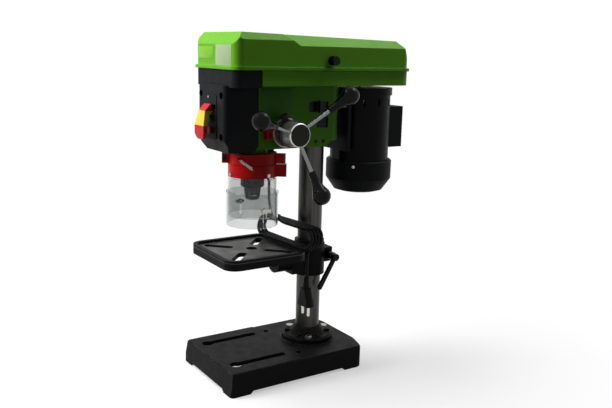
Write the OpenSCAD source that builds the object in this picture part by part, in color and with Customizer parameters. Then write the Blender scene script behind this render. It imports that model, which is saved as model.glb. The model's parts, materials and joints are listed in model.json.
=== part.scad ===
// Benchtop drill press, all sizes in millimetres.
// X points right, Y points back, Z points up.
// The column's axis is x = 0, y = 0, and the feet stand on z = 0.

/* [Base and column] */
// outer diameter of the column tube
column_d = 46; // [42:0.5:50]
// wall of the column tube
column_wall = 3; // [2:0.5:5]
// width of the base at its top edge
base_w = 186; // [170:1:230]
// distance from the column axis to the base's front edge
base_front = 214; // [200:1:260]
// distance from the column axis to the base's rear edge
base_back = 57; // [52:1:80]
// height of the base
base_h = 42; // [36:1:56]
// how far each side of the base leans out towards the feet
base_flare = 5.3; // [2:0.1:8]
// wall of the base casting
base_wall = 6; // [4:0.5:9]
// distance between the two long slots in the base
slot_spread = 114; // [100:1:130]
// length of each long slot
slot_len = 115; // [90:1:125]
// width of each long slot
slot_w = 14; // [10:0.5:16]
// distance between the two bench bolt holes
bench_hole_spread = 122; // [110:1:140]
// diameter of the bench bolt holes
bench_hole_d = 11; // [8:0.5:13]
// distance from the column axis forward to the bench bolt holes
bench_hole_y = 58; // [56:0.5:64]
// diameter of the column flange
flange_d = 100; // [96:1:110]
// circle on which the three flange bolts sit
flange_bolt_circle = 78; // [74:1:84]

/* [Head] */
// distance from the column axis to the spindle axis
throat = 127; // [122:1:135]
// height of the head's underside above the bench
head_z = 424; // [420:1:450]
// height of the head casting
head_h = 111; // [108:1:125]
// width of the head casting
head_w = 92; // [90:1:100]
// wall of the head casting
head_wall = 6; // [4:0.5:8]

/* [Quill, spindle and chuck] */
// outer diameter of the quill sleeve
quill_d = 44; // [43:0.5:46]
// stroke of the quill
quill_travel = 50; // [40:1:55]
// module of the feed gear
gear_module = 1.25; // [1:0.05:1.3]
// number of teeth on the feed pinion
pinion_teeth = 20; // [18:1:22]
// height of the pinion axis above the head's underside
pinion_rise = 29.6; // [28:0.1:32]
// diameter of the spindle in its bearings
spindle_d = 20; // [18:0.5:22]
// outer diameter of the chuck's key sleeve
chuck_d = 43; // [41:0.5:46]
// largest shank that the chuck takes
chuck_bore = 10; // [8:0.5:10]
// distance from the head's underside down to the chuck's nose
chuck_drop = 95; // [92:1:98]

/* [Feed handle] */
// outer diameter of the feed hub
hub_d = 42; // [40:1:46]
// distance from the spindle plane to the hub's outer face
hub_face = 105; // [102:1:112]
// distance from the hub axis to the centre of each knob, along the rod
rod_len = 113; // [95:1:120]
// diameter of each feed rod
rod_d = 6.8; // [6:0.2:10]
// lean of the feed rods away from the head in degrees
rod_tilt = 25.6; // [15:0.1:30]
// diameter of each knob
knob_d = 32; // [26:1:36]
// angle of the first rod at rest in degrees
rod_phase = 42.5; // [0:0.5:119]
// diameter of the depth collar
collar_d = 48; // [44:1:50]

/* [Belt drive and cover] */
// distance from the column axis back to the motor axis
motor_y = 112; // [110:1:125]
// travel of the motor for slackening the belt
belt_slack = 10; // [4:1:11]
// diameter of the motor can
motor_d = 114; // [100:1:116]
// diameter of the motor's lower end bell
bell_d = 128; // [118:1:132]
// height of the motor's lower end above the bench
motor_bottom = 328; // [320:1:340]
// width of the belt tray
tray_w = 152; // [140:1:156]
// height of the belt tray
tray_h = 26; // [22:1:30]
// width of the cover above its lip
cover_w = 156; // [150:1:160]
// height of the cover above the tray
cover_h = 62; // [60:1:75]
// wall of the cover, tray and housing
shell = 3; // [2:0.5:4]
// radius of the largest pulley step
pulley_r = 36; // [34:0.5:36]
// change of radius from one pulley step to the next
pulley_step = 5; // [4:0.5:5]
// height of one pulley step
step_h = 10; // [9:0.5:10.5]
// how far the front housing stands ahead of the spindle
housing_front = 83; // [80:1:90]
// width of the front housing's lower box
housing_w = 103; // [100:1:110]

/* [Chuck guard] */
// outer diameter of the guard's turning ring
guard_d = 88.4; // [84:0.2:92]
// height of the guard ring
guard_h = 22.5; // [22:0.5:26]
// distance from the head's underside down to the guard ring's top
guard_drop = 29.5; // [28:0.5:31]
// wall of the clear shields
shield_wall = 2.1; // [1.5:0.1:3]
// height of the lower clear shield
shield_h = 61; // [50:1:62]
// lift of the lower clear shield
shield_lift = 20; // [10:1:20]
// number of curls in the guard's spring
spring_curls = 12; // [8:1:13]

/* [Table] */
// edge length of the square table
table_size = 163; // [155:1:170]
// height of the table's rim above the bench
table_z = 240; // [225:1:242]
// height of the table's skirt
table_skirt = 17.5; // [15:0.5:22]
// width of the table's raised rim
table_rim = 8; // [5:0.5:12]
// depth of the table's surface below its rim
table_sink = 4; // [2:0.5:5]
// diameter of the hole in the middle of the table
table_hole_d = 21; // [16:0.5:26]
// width of the table's diagonal slots
table_slot_w = 16; // [10:0.5:17]
// distance from the table's rim down to its tilting axis
tilt_drop = 35; // [34:1:40]
// height of the table bracket's sleeve
bracket_h = 60; // [50:1:66]
// length of the table's lock lever
lever_len = 65; // [50:1:80]

/* [Cord] */
// diameter of the mains cord
cord_d = 6.2; // [5.6:0.1:6.6]

/* [Clearances] */
// radial gap of a turning or sliding shaft in its hole
run_fit = 0.05; // [0.02:0.01:0.1]
// gap between pieces that move past each other
body_gap = 0.4; // [0.3:0.05:0.6]

/* [Hidden] */
$fn = 64;
column_r = column_d / 2;
spindle_y = -throat;
head_top = head_z + head_h;
tray_top = head_top + tray_h;
cover_top = tray_top + cover_h;

// base
base_bottom_w = base_w + 2 * base_flare;
deck_z = base_h - 1.5;
base_bulge = 17;
base_corner = 8;
slot_front = base_front - 14;
flange_h = 10;
collar_h = 14;
flange_top = base_h + flange_h;
spot_face = 0.6;

// gearing
pitch_r = gear_module * pinion_teeth / 2;
tooth_pitch = PI * gear_module;
quill_r = quill_d / 2;
rack_y = spindle_y + quill_r - 1;
pinion_y = rack_y + pitch_r;
pinion_z = head_z + pinion_rise;
shaft_r = 8;
quill_top = head_top - 15;
quill_low = head_z - 28;
barrel_r = quill_r + 7;
spigot_r = quill_r + 3;

// chuck
spindle_r = spindle_d / 2;
spline_r = spindle_r - 3;
nose_z = head_z - chuck_drop;
key_z = nose_z + 23;
sleeve_h = 31;
chuck_r = chuck_d / 2;
chuck_in_r = chuck_r - 3.9;
jaw_tilt = 14;
jaw_r = 2;
jaw_len = 24;
jaw_tip_r = chuck_bore / 2 + jaw_r + 0.15;
jaw_stroke = 16;
chuck_top = quill_low - 4;

// drive
belt_step = 1;
pulley_low = head_top + 12;
pulley_top = pulley_low + 5 * step_h;
belt_z = pulley_low + belt_step * step_h;
sleeve_r = 14;
motor_r = motor_d / 2;
bell_r = bell_d / 2;
motor_top = head_top - 6;
bell_top = motor_bottom + 62;
motor_shaft_r = 7;
bar_x = 35;
bar_r = 6;
bar_z = head_z + 73;
head_rear = 36;
set_screws = [-22, -6];
plate_front = head_rear + belt_slack + 3;
plate_back = motor_y - motor_r + 1;
hinge_x = -(cover_w / 2 + 9);
hinge_z = tray_top + 3;
hinge_r = 4;
tray_front = spindle_y - 25;
tray_back = motor_y + 60;
cover_front = -throat - housing_front + 7;
cover_back = tray_back - 6;
lip_h = 6;

// housing and switch
front_y = spindle_y - housing_front;
bolt_x = housing_w / 2 - 13;
bolt_sink = 10;
bolt_rows = [24, 94];
ear_angle = -117;
switch_x = 0;
switch_w = 44;
switch_z = head_z + 56.5;
switch_h = 77;
switch_plate = 1;
plate_y = front_y - switch_plate;
button_z = [switch_z - 3.5, switch_z - 23.5];
flap_w = 35;
flap_top_w = 24;
flap_h = 57;
flap_out = 21.5;
flap_wall = 7;
flap_axis_y = plate_y - 4;
flap_axis_z = switch_z + 18.5;

lock_angle = 20;

// guard
guard_r = guard_d / 2;
guard_top = head_z - guard_drop;
guard_low = guard_top - guard_h;
lip_r = guard_r - 4.2;
collar_top = head_z - 9;
upper_r = guard_r - 0.2;
upper_low = guard_low - 72;
lower_in_r = upper_r + 0.9;
lower_r = lower_in_r + shield_wall;
lower_top = guard_low - 28;
lower_low = lower_top - shield_h;
screw_z = lower_low + 33;
spring_wire = 0.6;
spring_r = 2.6;
spring_from = -58;
spring_to = -26;
post_r = guard_r + 7;

// table
table_y = -134;
table_corner = 24;
tilt_z = table_z - tilt_drop;
tilt_r = 22;
tilt_bolt_r = 6;
boss_face = table_y + table_size / 2 + 2;
arm_face = boss_face + body_gap;
bracket_top = table_z - 7;
bracket_low = bracket_top - bracket_h;
bracket_r = column_r + 7;
ear_y = column_r + 12;
stud_r = 4;
lock_z = bracket_low + 34;
lever_x = bracket_r + 8;
lever_lean = 31;

// shared shapes

// flat rectangle with round corners, centred
module round_rect(w, l, r) {
  square([w - 2 * r, l], center = true);
  square([w, l - 2 * r], center = true);
  for (x = [-1, 1], y = [-1, 1])
    translate([x * (w / 2 - r), y * (l / 2 - r)])
      circle(r);
}

// flat slot along X between two end centres
module flat_slot(len, w) {
  square([len - w, w], center = true);
  for (x = [-1, 1])
    translate([x * (len - w) / 2, 0])
      circle(w / 2);
}

// tube on the Z axis
module tube(r_out, r_in, h) {
  difference() {
    cylinder(r = r_out, h = h);
    translate([0, 0, -1])
      cylinder(r = r_in, h = h + 2);
  }
}

// cylinder along +X from the given point
module rod_x(p, r, len) {
  translate(p)
    rotate([0, 90, 0])
      cylinder(r = r, h = len);
}

// cylinder along +Y from the given point
module rod_y(p, r, len) {
  translate(p)
    rotate([-90, 0, 0])
      cylinder(r = r, h = len);
}

// side view with points [y, z], drawn from x0 to x1
module side_view(points, x0, x1) {
  translate([x0, 0, 0])
    rotate([90, 0, 90])
      linear_extrude(x1 - x0)
        polygon(points);
}

// front view with points [x, z], drawn from y0 to y1
module front_view(points, y0, y1) {
  translate([0, y1, 0])
    rotate([90, 0, 0])
      linear_extrude(y1 - y0)
        polygon(points);
}

// solid tube swept along points, its rings turned about the given direction
module swept_tube(points, r, sides, about) {
  n = len(points);
  tangent = [for (i = [0:n - 1])
    unit(points[min(i + 1, n - 1)] - points[max(i - 1, 0)])];
  rings = [for (i = [0:n - 1], k = [0:sides - 1])
    let (s = unit(cross(about, tangent[i])), u = cross(tangent[i], s), a = 360 * k / sides)
    points[i] + r * (cos(a) * s + sin(a) * u)];
  walls = [for (i = [0:n - 2], k = [0:sides - 1], f = [0, 1])
    let (a = i * sides + k, b = i * sides + (k + 1) % sides)
    f == 0 ? [a, a + sides, b] : [b, a + sides, b + sides]];
  start_cap = [for (k = [1:sides - 2]) [0, k, k + 1]];
  end_cap = [for (k = [1:sides - 2])
    [(n - 1) * sides, (n - 1) * sides + k + 1, (n - 1) * sides + k]];
  polyhedron(concat([for (p = rings) p]), concat(walls, start_cap, end_cap));
}

function unit(v) = v / norm(v);

// smooth curve through route points
function along(p, i, t) =
  let (a = p[max(i - 1, 0)], b = p[i], c = p[i + 1], d = p[min(i + 2, len(p) - 1)])
  0.5 * (2 * b + (c - a) * t + (2 * a - 5 * b + 4 * c - d) * t * t
    + (3 * b - a - 3 * c + d) * t * t * t);
function curve(p, steps) = concat(
  [for (i = [0:len(p) - 2], s = [0:steps - 1]) along(p, i, s / steps)],
  [p[len(p) - 1]]);

// base and column

// solid outline of the base, drawn in by a wall and cut off at a height
module base_shape(inset, top) {
  w0 = base_bottom_w / 2 - inset;
  w1 = base_w / 2 - inset;
  f0 = -base_front - base_flare + inset;
  f1 = -base_front + inset;
  b0 = base_back + base_bulge + base_flare - inset;
  b1 = base_back + base_bulge - inset;
  lean = top / base_h;
  arc = (base_w * base_w / 4 + base_bulge * base_bulge) / (2 * base_bulge);
  meet = b0 - arc + sqrt(arc * arc - w0 * w0);
  right = [[w0, -20], [w0, meet - base_corner], [w0 - 0.3 * base_corner, meet - 1],
    [w0 - base_corner - 1, meet + base_corner], [w0 - base_corner - 1, b0 + 5]];
  intersection() {
    front_view([[-w0, 0], [w0, 0], [w0 + (w1 - w0) * lean, top], [-w0 - (w1 - w0) * lean, top]],
      -400, 200);
    side_view([[f0, 0], [b0, 0], [b0 + (b1 - b0) * lean, top], [f0 + (f1 - f0) * lean, top]],
      -200, 200);
    linear_extrude(top) {
      translate([0, f0 / 2])
        round_rect(2 * w0, -f0, base_corner);
      // rear edge as one arc between the two corners
      intersection() {
        translate([0, b0 - arc])
          circle(arc, $fn = 160);
        polygon(concat(right, [for (i = [4:-1:0]) [-right[i][0], right[i][1]]]));
      }
    }
  }
}

module base_casting() {
  color([0.07, 0.07, 0.075])
  difference() {
    union() {
      difference() {
        base_shape(0, deck_z);
        translate([0, 0, -0.01])
          base_shape(base_wall, deck_z - base_wall);
        // arches between the feet
        arch(base_bottom_w / 2 - 30, base_front + 60);
        translate([0, (base_back - base_front) / 2, 0])
          rotate([0, 0, 90])
            arch((base_front + base_back) / 2 - 32, base_bottom_w);
      }
      // work surface at the front and seat of the column flange
      translate([0, 0, deck_z - 0.5])
        linear_extrude(base_h - deck_z + 0.5) {
          translate([0, -(base_front + 71) / 2])
            round_rect(base_w - 1, base_front - 71 - 1, 3);
          circle(flange_d / 2 + 2);
        }
      // standing ring below the column
      cylinder(r = column_r + 11, h = deck_z - 1);
      for (a = [90:120:330])
        rotate([0, 0, a])
          translate([flange_bolt_circle / 2, 0, 10])
            cylinder(r = 9, h = deck_z - 11);
    }
    translate([0, 0, -1])
      cylinder(r = column_r - 2, h = base_h + 2);
    for (x = [-1, 1]) {
      translate([x * slot_spread / 2, -slot_front + slot_len / 2, deck_z - base_wall - 1])
        linear_extrude(base_wall + 4) {
          rotate(90)
            flat_slot(slot_len, slot_w);
          translate([0, -slot_len / 2 + 11])
            rotate(90)
              flat_slot(22, slot_w + 7);
        }
      translate([x * bench_hole_spread / 2, -bench_hole_y, 0])
        cylinder(d = bench_hole_d, h = base_h + 1);
    }
    for (a = [90:120:330])
      rotate([0, 0, a])
        translate([flange_bolt_circle / 2, 0, 0])
          cylinder(r = 4, h = base_h + 1);
  }
}

// low opening through the skirt, with sloping ends
module arch(half, reach) {
  front_view([[-half, -1], [half, -1], [half - 7, 5], [-half + 7, 5]], -reach, reach);
}

module column_flange() {
  r = flange_d / 2;
  color([0.08, 0.08, 0.085])
  translate([0, 0, base_h])
  difference() {
    union() {
      rotate_extrude()
        polygon([[column_r - 1, 0], [r, 0], [r, flange_h - 2], [r - 4, flange_h - 2],
          [r - 4, flange_h], [column_r + 13, flange_h], [column_r + 3.5, flange_h + collar_h],
          [column_r - 1, flange_h + collar_h]]);
      // ribs between the bolts
      for (a = [0:60:300])
        rotate([0, 0, a])
          translate([column_r + 1, -2, 1])
            cube([r - 7 - column_r, 4, flange_h + 3]);
    }
    translate([0, 0, -1])
      cylinder(r = column_r, h = 60);
    for (a = [90:120:330])
      rotate([0, 0, a])
        translate([flange_bolt_circle / 2, 0, 0]) {
          translate([0, 0, -1])
            cylinder(r = 4.2, h = flange_h + 2);
          translate([0, 0, flange_h - spot_face])
            cylinder(r = 9, h = 30);
        }
  }
}

// hexagon bolt with its head's seat at z = 0
module hex_bolt(r, len, flats, head) {
  cylinder(r = flats / sqrt(3), h = head, $fn = 6);
  translate([0, 0, -len])
    cylinder(r = r, h = len + 0.01);
}

module flange_bolts() {
  color([0.62, 0.63, 0.65])
  for (a = [90:120:330])
    rotate([0, 0, a])
      translate([flange_bolt_circle / 2, 0, flange_top - spot_face])
        hex_bolt(4, flange_h + 18, 13, 5.5);
}

module column_tube() {
  color([0.42, 0.42, 0.43])
  translate([0, 0, base_h])
    tube(column_r, column_r - column_wall, head_top - 15 - base_h);
}

// head

module head_plan(inset) {
  w = head_w / 2 - inset;
  r = 25 - inset;
  front = spindle_y - 18 + inset;
  translate([-w, front])
    square([2 * w, head_rear - 25 - front]);
  translate([-w + r, front])
    square([2 * w - 2 * r, head_rear - inset - front]);
  for (x = [-1, 1])
    translate([x * (w - r), head_rear - 25])
      circle(r);
}

module head_casting() {
  color([0.38, 0.62, 0.12])
  difference() {
    union() {
      difference() {
        translate([0, 0, head_z])
          linear_extrude(head_h)
            head_plan(0);
        // open space between the quill and the column
        translate([0, 0, head_z + head_wall])
          linear_extrude(head_h - 2 * head_wall)
            intersection() {
              head_plan(head_wall);
              translate([-100, -200])
                square([200, 200 - column_r - 10]);
            }
      }
      translate([0, spindle_y, head_z])
        cylinder(r = barrel_r, h = head_h);
      translate([0, spindle_y, quill_low + 1])
        cylinder(r = spigot_r, h = head_z - quill_low);
      // bearing bosses of the pinion shaft
      rod_x([-head_w / 2, pinion_y, pinion_z], 18, 22);
      rod_x([head_w / 2 - 22, pinion_y, pinion_z], 18, 22);
    }
    translate([0, 0, head_z - 1])
      cylinder(r = column_r, h = head_h - 14);
    translate([0, spindle_y, quill_low - 1])
      cylinder(r = quill_r + run_fit, h = quill_top - quill_low + 2.5);
    translate([0, spindle_y, quill_top])
      cylinder(r = sleeve_r + run_fit, h = head_top - quill_top + 1);
    rod_x([-head_w, pinion_y, pinion_z], shaft_r + run_fit, 2 * head_w);
    rod_x([-15, pinion_y, pinion_z], pitch_r + 3, 30);
    // bores of the motor slide bars
    for (x = [-1, 1])
      rod_y([x * bar_x, -34 - belt_slack, bar_z], bar_r + run_fit, 120);
    // pockets in the sides
    for (x = [-1, 1])
      translate([x * (head_w / 2 + 1), 0, 0]) {
        translate([-4, -38.5, bar_z - 9])
          cube([8, 42, 18]);
        translate([-4, -22, head_z + 35])
          cube([8, 25.5, 19]);
      }
    // raised rear part of the underside
    side_view([[1, head_z - 2], [12, head_z + 10], [head_rear + 5, head_z + 10], [head_rear + 5, head_z - 2]],
      -head_w, head_w);
    // hole of the belt tension screw
    rod_x([bar_x, -18, bar_z], 3 + run_fit, 40);
    // holes of the column set screws
    for (y = set_screws)
      rod_x([column_r - 4, y, head_z + 10], 3, 60);
    // cord entry
    translate([-30, -72, head_z - 1])
      cylinder(r = 5, h = 12);
  }
}

// socket screw with its head's seat at z = 0
module socket_screw(r, len) {
  difference() {
    union() {
      cylinder(r = 2 * r, h = 3.5);
      translate([0, 0, -len])
        cylinder(r = r, h = len + 0.01);
    }
    translate([0, 0, 1.5])
      cylinder(r = 0.9 * r, h = 3, $fn = 6);
  }
}

module socket_screws() {
  color([0.15, 0.15, 0.16])
  {
    for (y = set_screws)
      translate([head_w / 2 - 6, y, head_z + 10])
        rotate([0, 90, 0])
          difference() {
            cylinder(r = 3, h = 7);
            translate([0, 0, 4])
              cylinder(r = 1.6, h = 4, $fn = 6);
          }
    for (x = [-1, 1], z = bolt_rows)
      translate([x * bolt_x, front_y + bolt_sink, head_z + z])
        rotate([90, 0, 0])
          socket_screw(2, 11);
    // clamp screw of the guard collar
    translate([0, spindle_y, guard_top + 9.5])
      rotate([0, 0, ear_angle])
        translate([guard_r + 6, 8, 0])
          rotate([-90, 0, 0])
            socket_screw(2.5, 20);
  }
}

// belt tray, cover and front housing

module tray_plan(inset, front) {
  w = tray_w / 2 - inset;
  r = 22 - inset;
  back = tray_back - inset;
  translate([-w, front])
    square([2 * w, back - r - front]);
  translate([-w + r, front])
    square([2 * w - 2 * r, back - front]);
  for (x = [-1, 1])
    translate([x * (w - r), back - r])
      circle(r);
}

module belt_tray() {
  color([0.36, 0.60, 0.12])
  {
    difference() {
      translate([0, 0, head_top])
        linear_extrude(tray_h)
          tray_plan(0, tray_front);
      translate([0, 0, head_top + shell])
        linear_extrude(tray_h)
          tray_plan(shell, tray_front - 1);
      translate([0, spindle_y, head_top - 1])
        cylinder(r = sleeve_r + 6, h = 20);
      shaft_slot(0, motor_y - belt_slack / 2, belt_slack + 2 * (motor_shaft_r + 6));
    }
    // hinge knuckles and their pins
    for (y = hinge_places()) {
      difference() {
        union() {
          rod_y([hinge_x, y - 12, hinge_z], hinge_r, 10);
          translate([hinge_x - hinge_r, y - 12, tray_top - 8])
            cube([hinge_r * 2, 10, 11]);
          translate([hinge_x - hinge_r, y - 12, tray_top - 8])
            cube([-tray_w / 2 - hinge_x + hinge_r, 10, 6]);
        }
      }
      rod_y([hinge_x, y - 2.01, hinge_z], 2, 14);
    }
  }
}

function hinge_places() = [tray_front + 70, tray_back - 70];

// slot along Y through the tray's floor
module shaft_slot(x, y, len) {
  translate([x, y, head_top - 1])
    linear_extrude(shell + 2)
      rotate(90)
        flat_slot(len, 2 * (motor_shaft_r + 6));
}

// side view of the cover, drawn in by a wall
function cover_side(i) = [[cover_front + i, tray_top - 1], [cover_front + i, cover_top - 20 + i / 2],
  [cover_front + 14 + i, cover_top - i], [cover_back - 27 - i, cover_top - 7 - i],
  [cover_back - 14 - i, cover_top - 19 - i / 2], [cover_back - 6 - i, cover_top - 38],
  [cover_back - i, tray_top - 1]];

// front view of the cover, drawn in by a wall
function cover_face(i) = [[-cover_w / 2 + i, tray_top - 1], [-cover_w / 2 + i, cover_top - 12],
  [-cover_w / 2 + 9 + i, cover_top - i], [cover_w / 2 - 9 - i, cover_top - i],
  [cover_w / 2 - i, cover_top - 12], [cover_w / 2 - i, tray_top - 1]];

module cover_form(i, low) {
  difference() {
    intersection() {
      side_view(cover_side(i), -cover_w, cover_w);
      front_view(cover_face(i), cover_front - 10, cover_back + 10);
      translate([0, (cover_front + cover_back) / 2, low])
        linear_extrude(cover_h + 10)
          round_rect(cover_w - 2 * i, cover_back - cover_front - 2 * i, 16 - i);
    }
    for (x = [-1, 1])
      cover_slope(i, x);
  }
}

// room above the wide slope along the cover's side edge, drawn in by a wall
module cover_slope(i, side) {
  x = cover_w / 2 + 14 - 0.72 * i;
  z = cover_top - 0.69 * i;
  step = spindle_y - 19 - 1.4 * i;
  intersection() {
    front_view([[side * x, z - 35], [side * x, z + 8.5], [side * (x - 42), z + 8.5]],
      cover_front, cover_back + 10);
    side_view([[step, cover_top + 20], [step + 83, cover_top - 30],
      [cover_back + 10, cover_top - 30], [cover_back + 10, cover_top + 20]], -cover_w, cover_w);
  }
}

module belt_cover() {
  color([0.40, 0.66, 0.14])
  {
    difference() {
      union() {
        cover_form(0, tray_top + body_gap);
        translate([0, (cover_front + cover_back) / 2, tray_top + body_gap])
          linear_extrude(lip_h - body_gap)
            round_rect(cover_w + 8, cover_back - cover_front + 8, 18);
      }
      cover_form(shell, tray_top - 1);
      rod_x([cover_w / 2 - 10, -14, tray_top + 18], 3, 30);
      for (y = hinge_places())
        translate([hinge_x - 8, y - 14, tray_top - 1])
          cube([8 + hinge_r + 1, 28, 12]);
    }
    for (y = hinge_places())
      difference() {
        union() {
          rod_y([hinge_x, y - 2 + body_gap, hinge_z], hinge_r, 12);
          translate([hinge_x, y - 2 + body_gap, hinge_z + 1])
            cube([-cover_w / 2 - hinge_x + 1, 12, hinge_r - 1]);
        }
        rod_y([hinge_x, y - 3, hinge_z], 2 + run_fit, 20);
      }
  }
}

module cover_knob() {
  color([0.05, 0.05, 0.05])
  {
    difference() {
      rod_x([cover_w / 2 + body_gap, -14, tray_top + 18], 8, 14);
      for (a = [0:30:330])
        translate([cover_w / 2 + 3, -14, tray_top + 18])
          rotate([a, 0, 0])
            rod_x([0, 8.6, 0], 1.2, 20);
    }
    rod_x([cover_w / 2 - shell - 6, -14, tray_top + 18], 3 - run_fit, 7 + shell);
  }
}

module front_housing() {
  color([0.06, 0.06, 0.065])
  difference() {
    union() {
      // upper block in line with the tray
      intersection() {
        translate([-tray_w / 2, front_y + 7, head_top - 3])
          cube([tray_w, tray_front - front_y - 7 - body_gap / 2, tray_h + 3]);
        translate([0, (front_y + 7 + tray_back) / 2, head_top - 4])
          linear_extrude(tray_h + 5)
            round_rect(tray_w, tray_back - front_y - 7, 14);
      }
      difference() {
        housing_box(0);
        housing_box(shell);
      }
      // bosses of the bolts
      for (x = [-1, 1], z = bolt_rows)
        rod_y([x * bolt_x, front_y + 0.5, head_z + z], 8.6, bolt_sink + 11);
    }
    intersection() {
      translate([-tray_w / 2 + shell, front_y + 7 + shell, head_top + 2])
        cube([tray_w - 2 * shell, 100, tray_h]);
      translate([0, (front_y + 7 + tray_back) / 2, head_top + 2])
        linear_extrude(tray_h)
          round_rect(tray_w - 2 * shell, tray_back - front_y - 7 - 2 * shell, 11);
    }
    // room for the quill barrel and the head
    translate([0, spindle_y, head_z - 20])
      cylinder(r = barrel_r + 1, h = head_h + 40);
    translate([-head_w / 2 - 0.2, spindle_y - 18.2, head_z - 10])
      cube([head_w + 0.4, 100, head_h + 10]);
    // panel of the switch
    translate([switch_x - switch_w / 2 + 3, front_y - 1, switch_z - switch_h / 2 + 3])
      cube([switch_w - 6, 14, switch_h - 6]);
    // bolt recesses
    for (x = [-1, 1], z = bolt_rows) {
      rod_y([x * bolt_x, front_y - 10, head_z + z], 6.2, 10 + bolt_sink);
      rod_y([x * bolt_x, front_y, head_z + z], 2, bolt_sink + 12);
    }
  }
}

// lower box of the front housing, drawn in by a wall
module housing_box(i) {
  w = housing_w / 2 - i;
  f = front_y + i;
  z0 = head_z - 4 + i;
  z1 = head_top - i;
  back = spindle_y - 18 + (i > 0 ? 5 : 0);
  intersection() {
    side_view([[f, z1], [f, z0 + 24], [f + 13, z0], [back, z0], [back, z1]], -w, w);
    front_view([[-w, z1], [-w, z0 + 12], [-w + 10, z0], [w - 10, z0], [w, z0 + 12], [w, z1]],
      f - 10, 0);
    linear_extrude(2 * head_top)
      translate([0, f + 100])
        round_rect(2 * w, 200, 8);
  }
}

module switch_body() {
  color([0.09, 0.09, 0.09])
  {
    difference() {
      union() {
        translate([switch_x, front_y, switch_z])
          rotate([90, 0, 0])
            linear_extrude(switch_plate)
              round_rect(switch_w, switch_h, 4);
        translate([switch_x - 17, front_y - switch_plate / 2, switch_z - switch_h / 2 + 4])
          cube([34, 22, switch_h - 22]);
      }
      // sockets of the two buttons
      for (z = button_z)
        rod_y([switch_x, plate_y - 1, z], 6 + run_fit, 9);
    }
    // ears and pins of the flap
    for (x = [-1, 1]) {
      translate([switch_x + x * (flap_top_w / 2 + 2 + body_gap) - 2, flap_axis_y - 3, flap_axis_z - 3])
        cube([4, 7.5, 6]);
      rod_x([switch_x + (x > 0 ? flap_top_w / 2 - 3 : -flap_top_w / 2 - 1), flap_axis_y, flap_axis_z],
        1.5, 4);
    }
  }
}

module switch_flap() {
  color([0.75, 0.08, 0.06])
  difference() {
    union() {
      flap_form();
      rod_x([switch_x - flap_top_w / 2, flap_axis_y, flap_axis_z], 3.5, flap_top_w);
    }
    rod_x([switch_x - flap_w, flap_axis_y, flap_axis_z], 1.5 + run_fit, 2 * flap_w);
  }
}

// paddle that leans out from its hinge and hangs in front of the buttons
module flap_form() {
  b = plate_y - body_gap;
  f = plate_y - flap_out;
  z = flap_axis_z;
  w = flap_w / 2;
  n = flap_top_w / 2;
  right = [[n, z + 5], [n, z - 8], [w, z - 33], [w, z - flap_h + 11],
    [w - 3, z - flap_h + 4], [w - 9, z - flap_h - 1]];
  intersection() {
    side_view([[b, z - 7], [b, z], [b - 7.5, z + 1.5], [f + 5.5, z - 8], [f, z - 33],
      [f, z - flap_h + 8], [f + 2.5, z - flap_h], [f + flap_wall, z - flap_h],
      [f + flap_wall, z - 33], [b - 8, z - 15]], switch_x - w, switch_x + w);
    translate([switch_x, 0, 0])
      front_view(concat(right, [for (i = [5:-1:0]) [-right[i][0], right[i][1]]]),
        f - 5, plate_y + 5);
  }
}

module start_button() {
  color([0.1, 0.5, 0.15])
  rod_y([switch_x, plate_y - 4, button_z[0]], 6, 8);
}

module stop_button() {
  color([0.7, 0.05, 0.05])
  rod_y([switch_x, plate_y - 4, button_z[1]], 6, 8);
}

module depth_pointer() {
  color([0.7, 0.06, 0.05])
  difference() {
    translate([head_w / 2, spindle_y - 4, pinion_z - 11])
      cube([11, 11, 18]);
    rod_x([head_w / 2 + 8, spindle_y + 1.5, pinion_z - 4], 3, 4);
  }
}

module feed_ring() {
  color([0.55, 0.55, 0.56])
  translate([head_w / 2, pinion_y, pinion_z])
    rotate([0, 90, 0])
      difference() {
        union() {
          cylinder(r = collar_d / 2 - 2, h = 14);
          translate([0, 0, 7])
            cylinder(r = collar_d / 2 + 2, h = 6.6);
        }
        translate([0, 0, -1])
          cylinder(r = shaft_r + run_fit, h = 20);
      }
}

module return_spring_cup() {
  color([0.07, 0.07, 0.07])
  translate([-head_w / 2, pinion_y, pinion_z])
    rotate([0, -90, 0])
      difference() {
        cylinder(r = 28, h = 20);
        translate([0, 0, -1])
          cylinder(r = 25.5, h = 18);
        translate([0, 0, -2])
          cylinder(r = shaft_r + run_fit, h = 30);
      }
}

// flat spiral strip between the shaft and the cup
module return_spring() {
  turns = 4;
  r0 = shaft_r + 0.3;
  r1 = 25.2;
  color([0.3, 0.32, 0.36])
  translate([-head_w / 2 - 2, pinion_y, pinion_z])
    rotate([0, -90, 0])
      linear_extrude(12)
        polygon(concat(
          [for (i = [0:turns * 24]) spiral(r0, r1, turns, i, 0)],
          [for (i = [turns * 24:-1:0]) spiral(r0, r1, turns, i, 0.9)]));
}

function spiral(r0, r1, turns, i, t) =
  let (r = r0 + t + (r1 - r0 - 0.9) * i / (turns * 24), a = 15 * i)
  [r * cos(a), r * sin(a)];

// stepped pulley, widest step first
module stepped_pulley(rising) {
  for (i = [0:4])
    translate([0, 0, i * step_h])
      difference() {
        cylinder(r = step_r(i, rising), h = step_h + (i < 4 ? 0.01 : 0));
        translate([0, 0, 1.5])
          tube(step_r(i, rising) + 1, step_r(i, rising) - 6, step_h - 3);
      }
}

function step_r(i, rising) = pulley_r - pulley_step * (rising ? 4 - i : i);

module spindle_pulley() {
  color([0.66, 0.67, 0.68])
  translate([0, spindle_y, 0])
    difference() {
      union() {
        translate([0, 0, pulley_low])
          stepped_pulley(false);
        translate([0, 0, head_top - 12])
          cylinder(r = sleeve_r, h = pulley_low - head_top + 12.01);
      }
      translate([0, 0, head_top - 20])
        cylinder(r = spline_r + run_fit, h = 120);
    }
}

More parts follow.
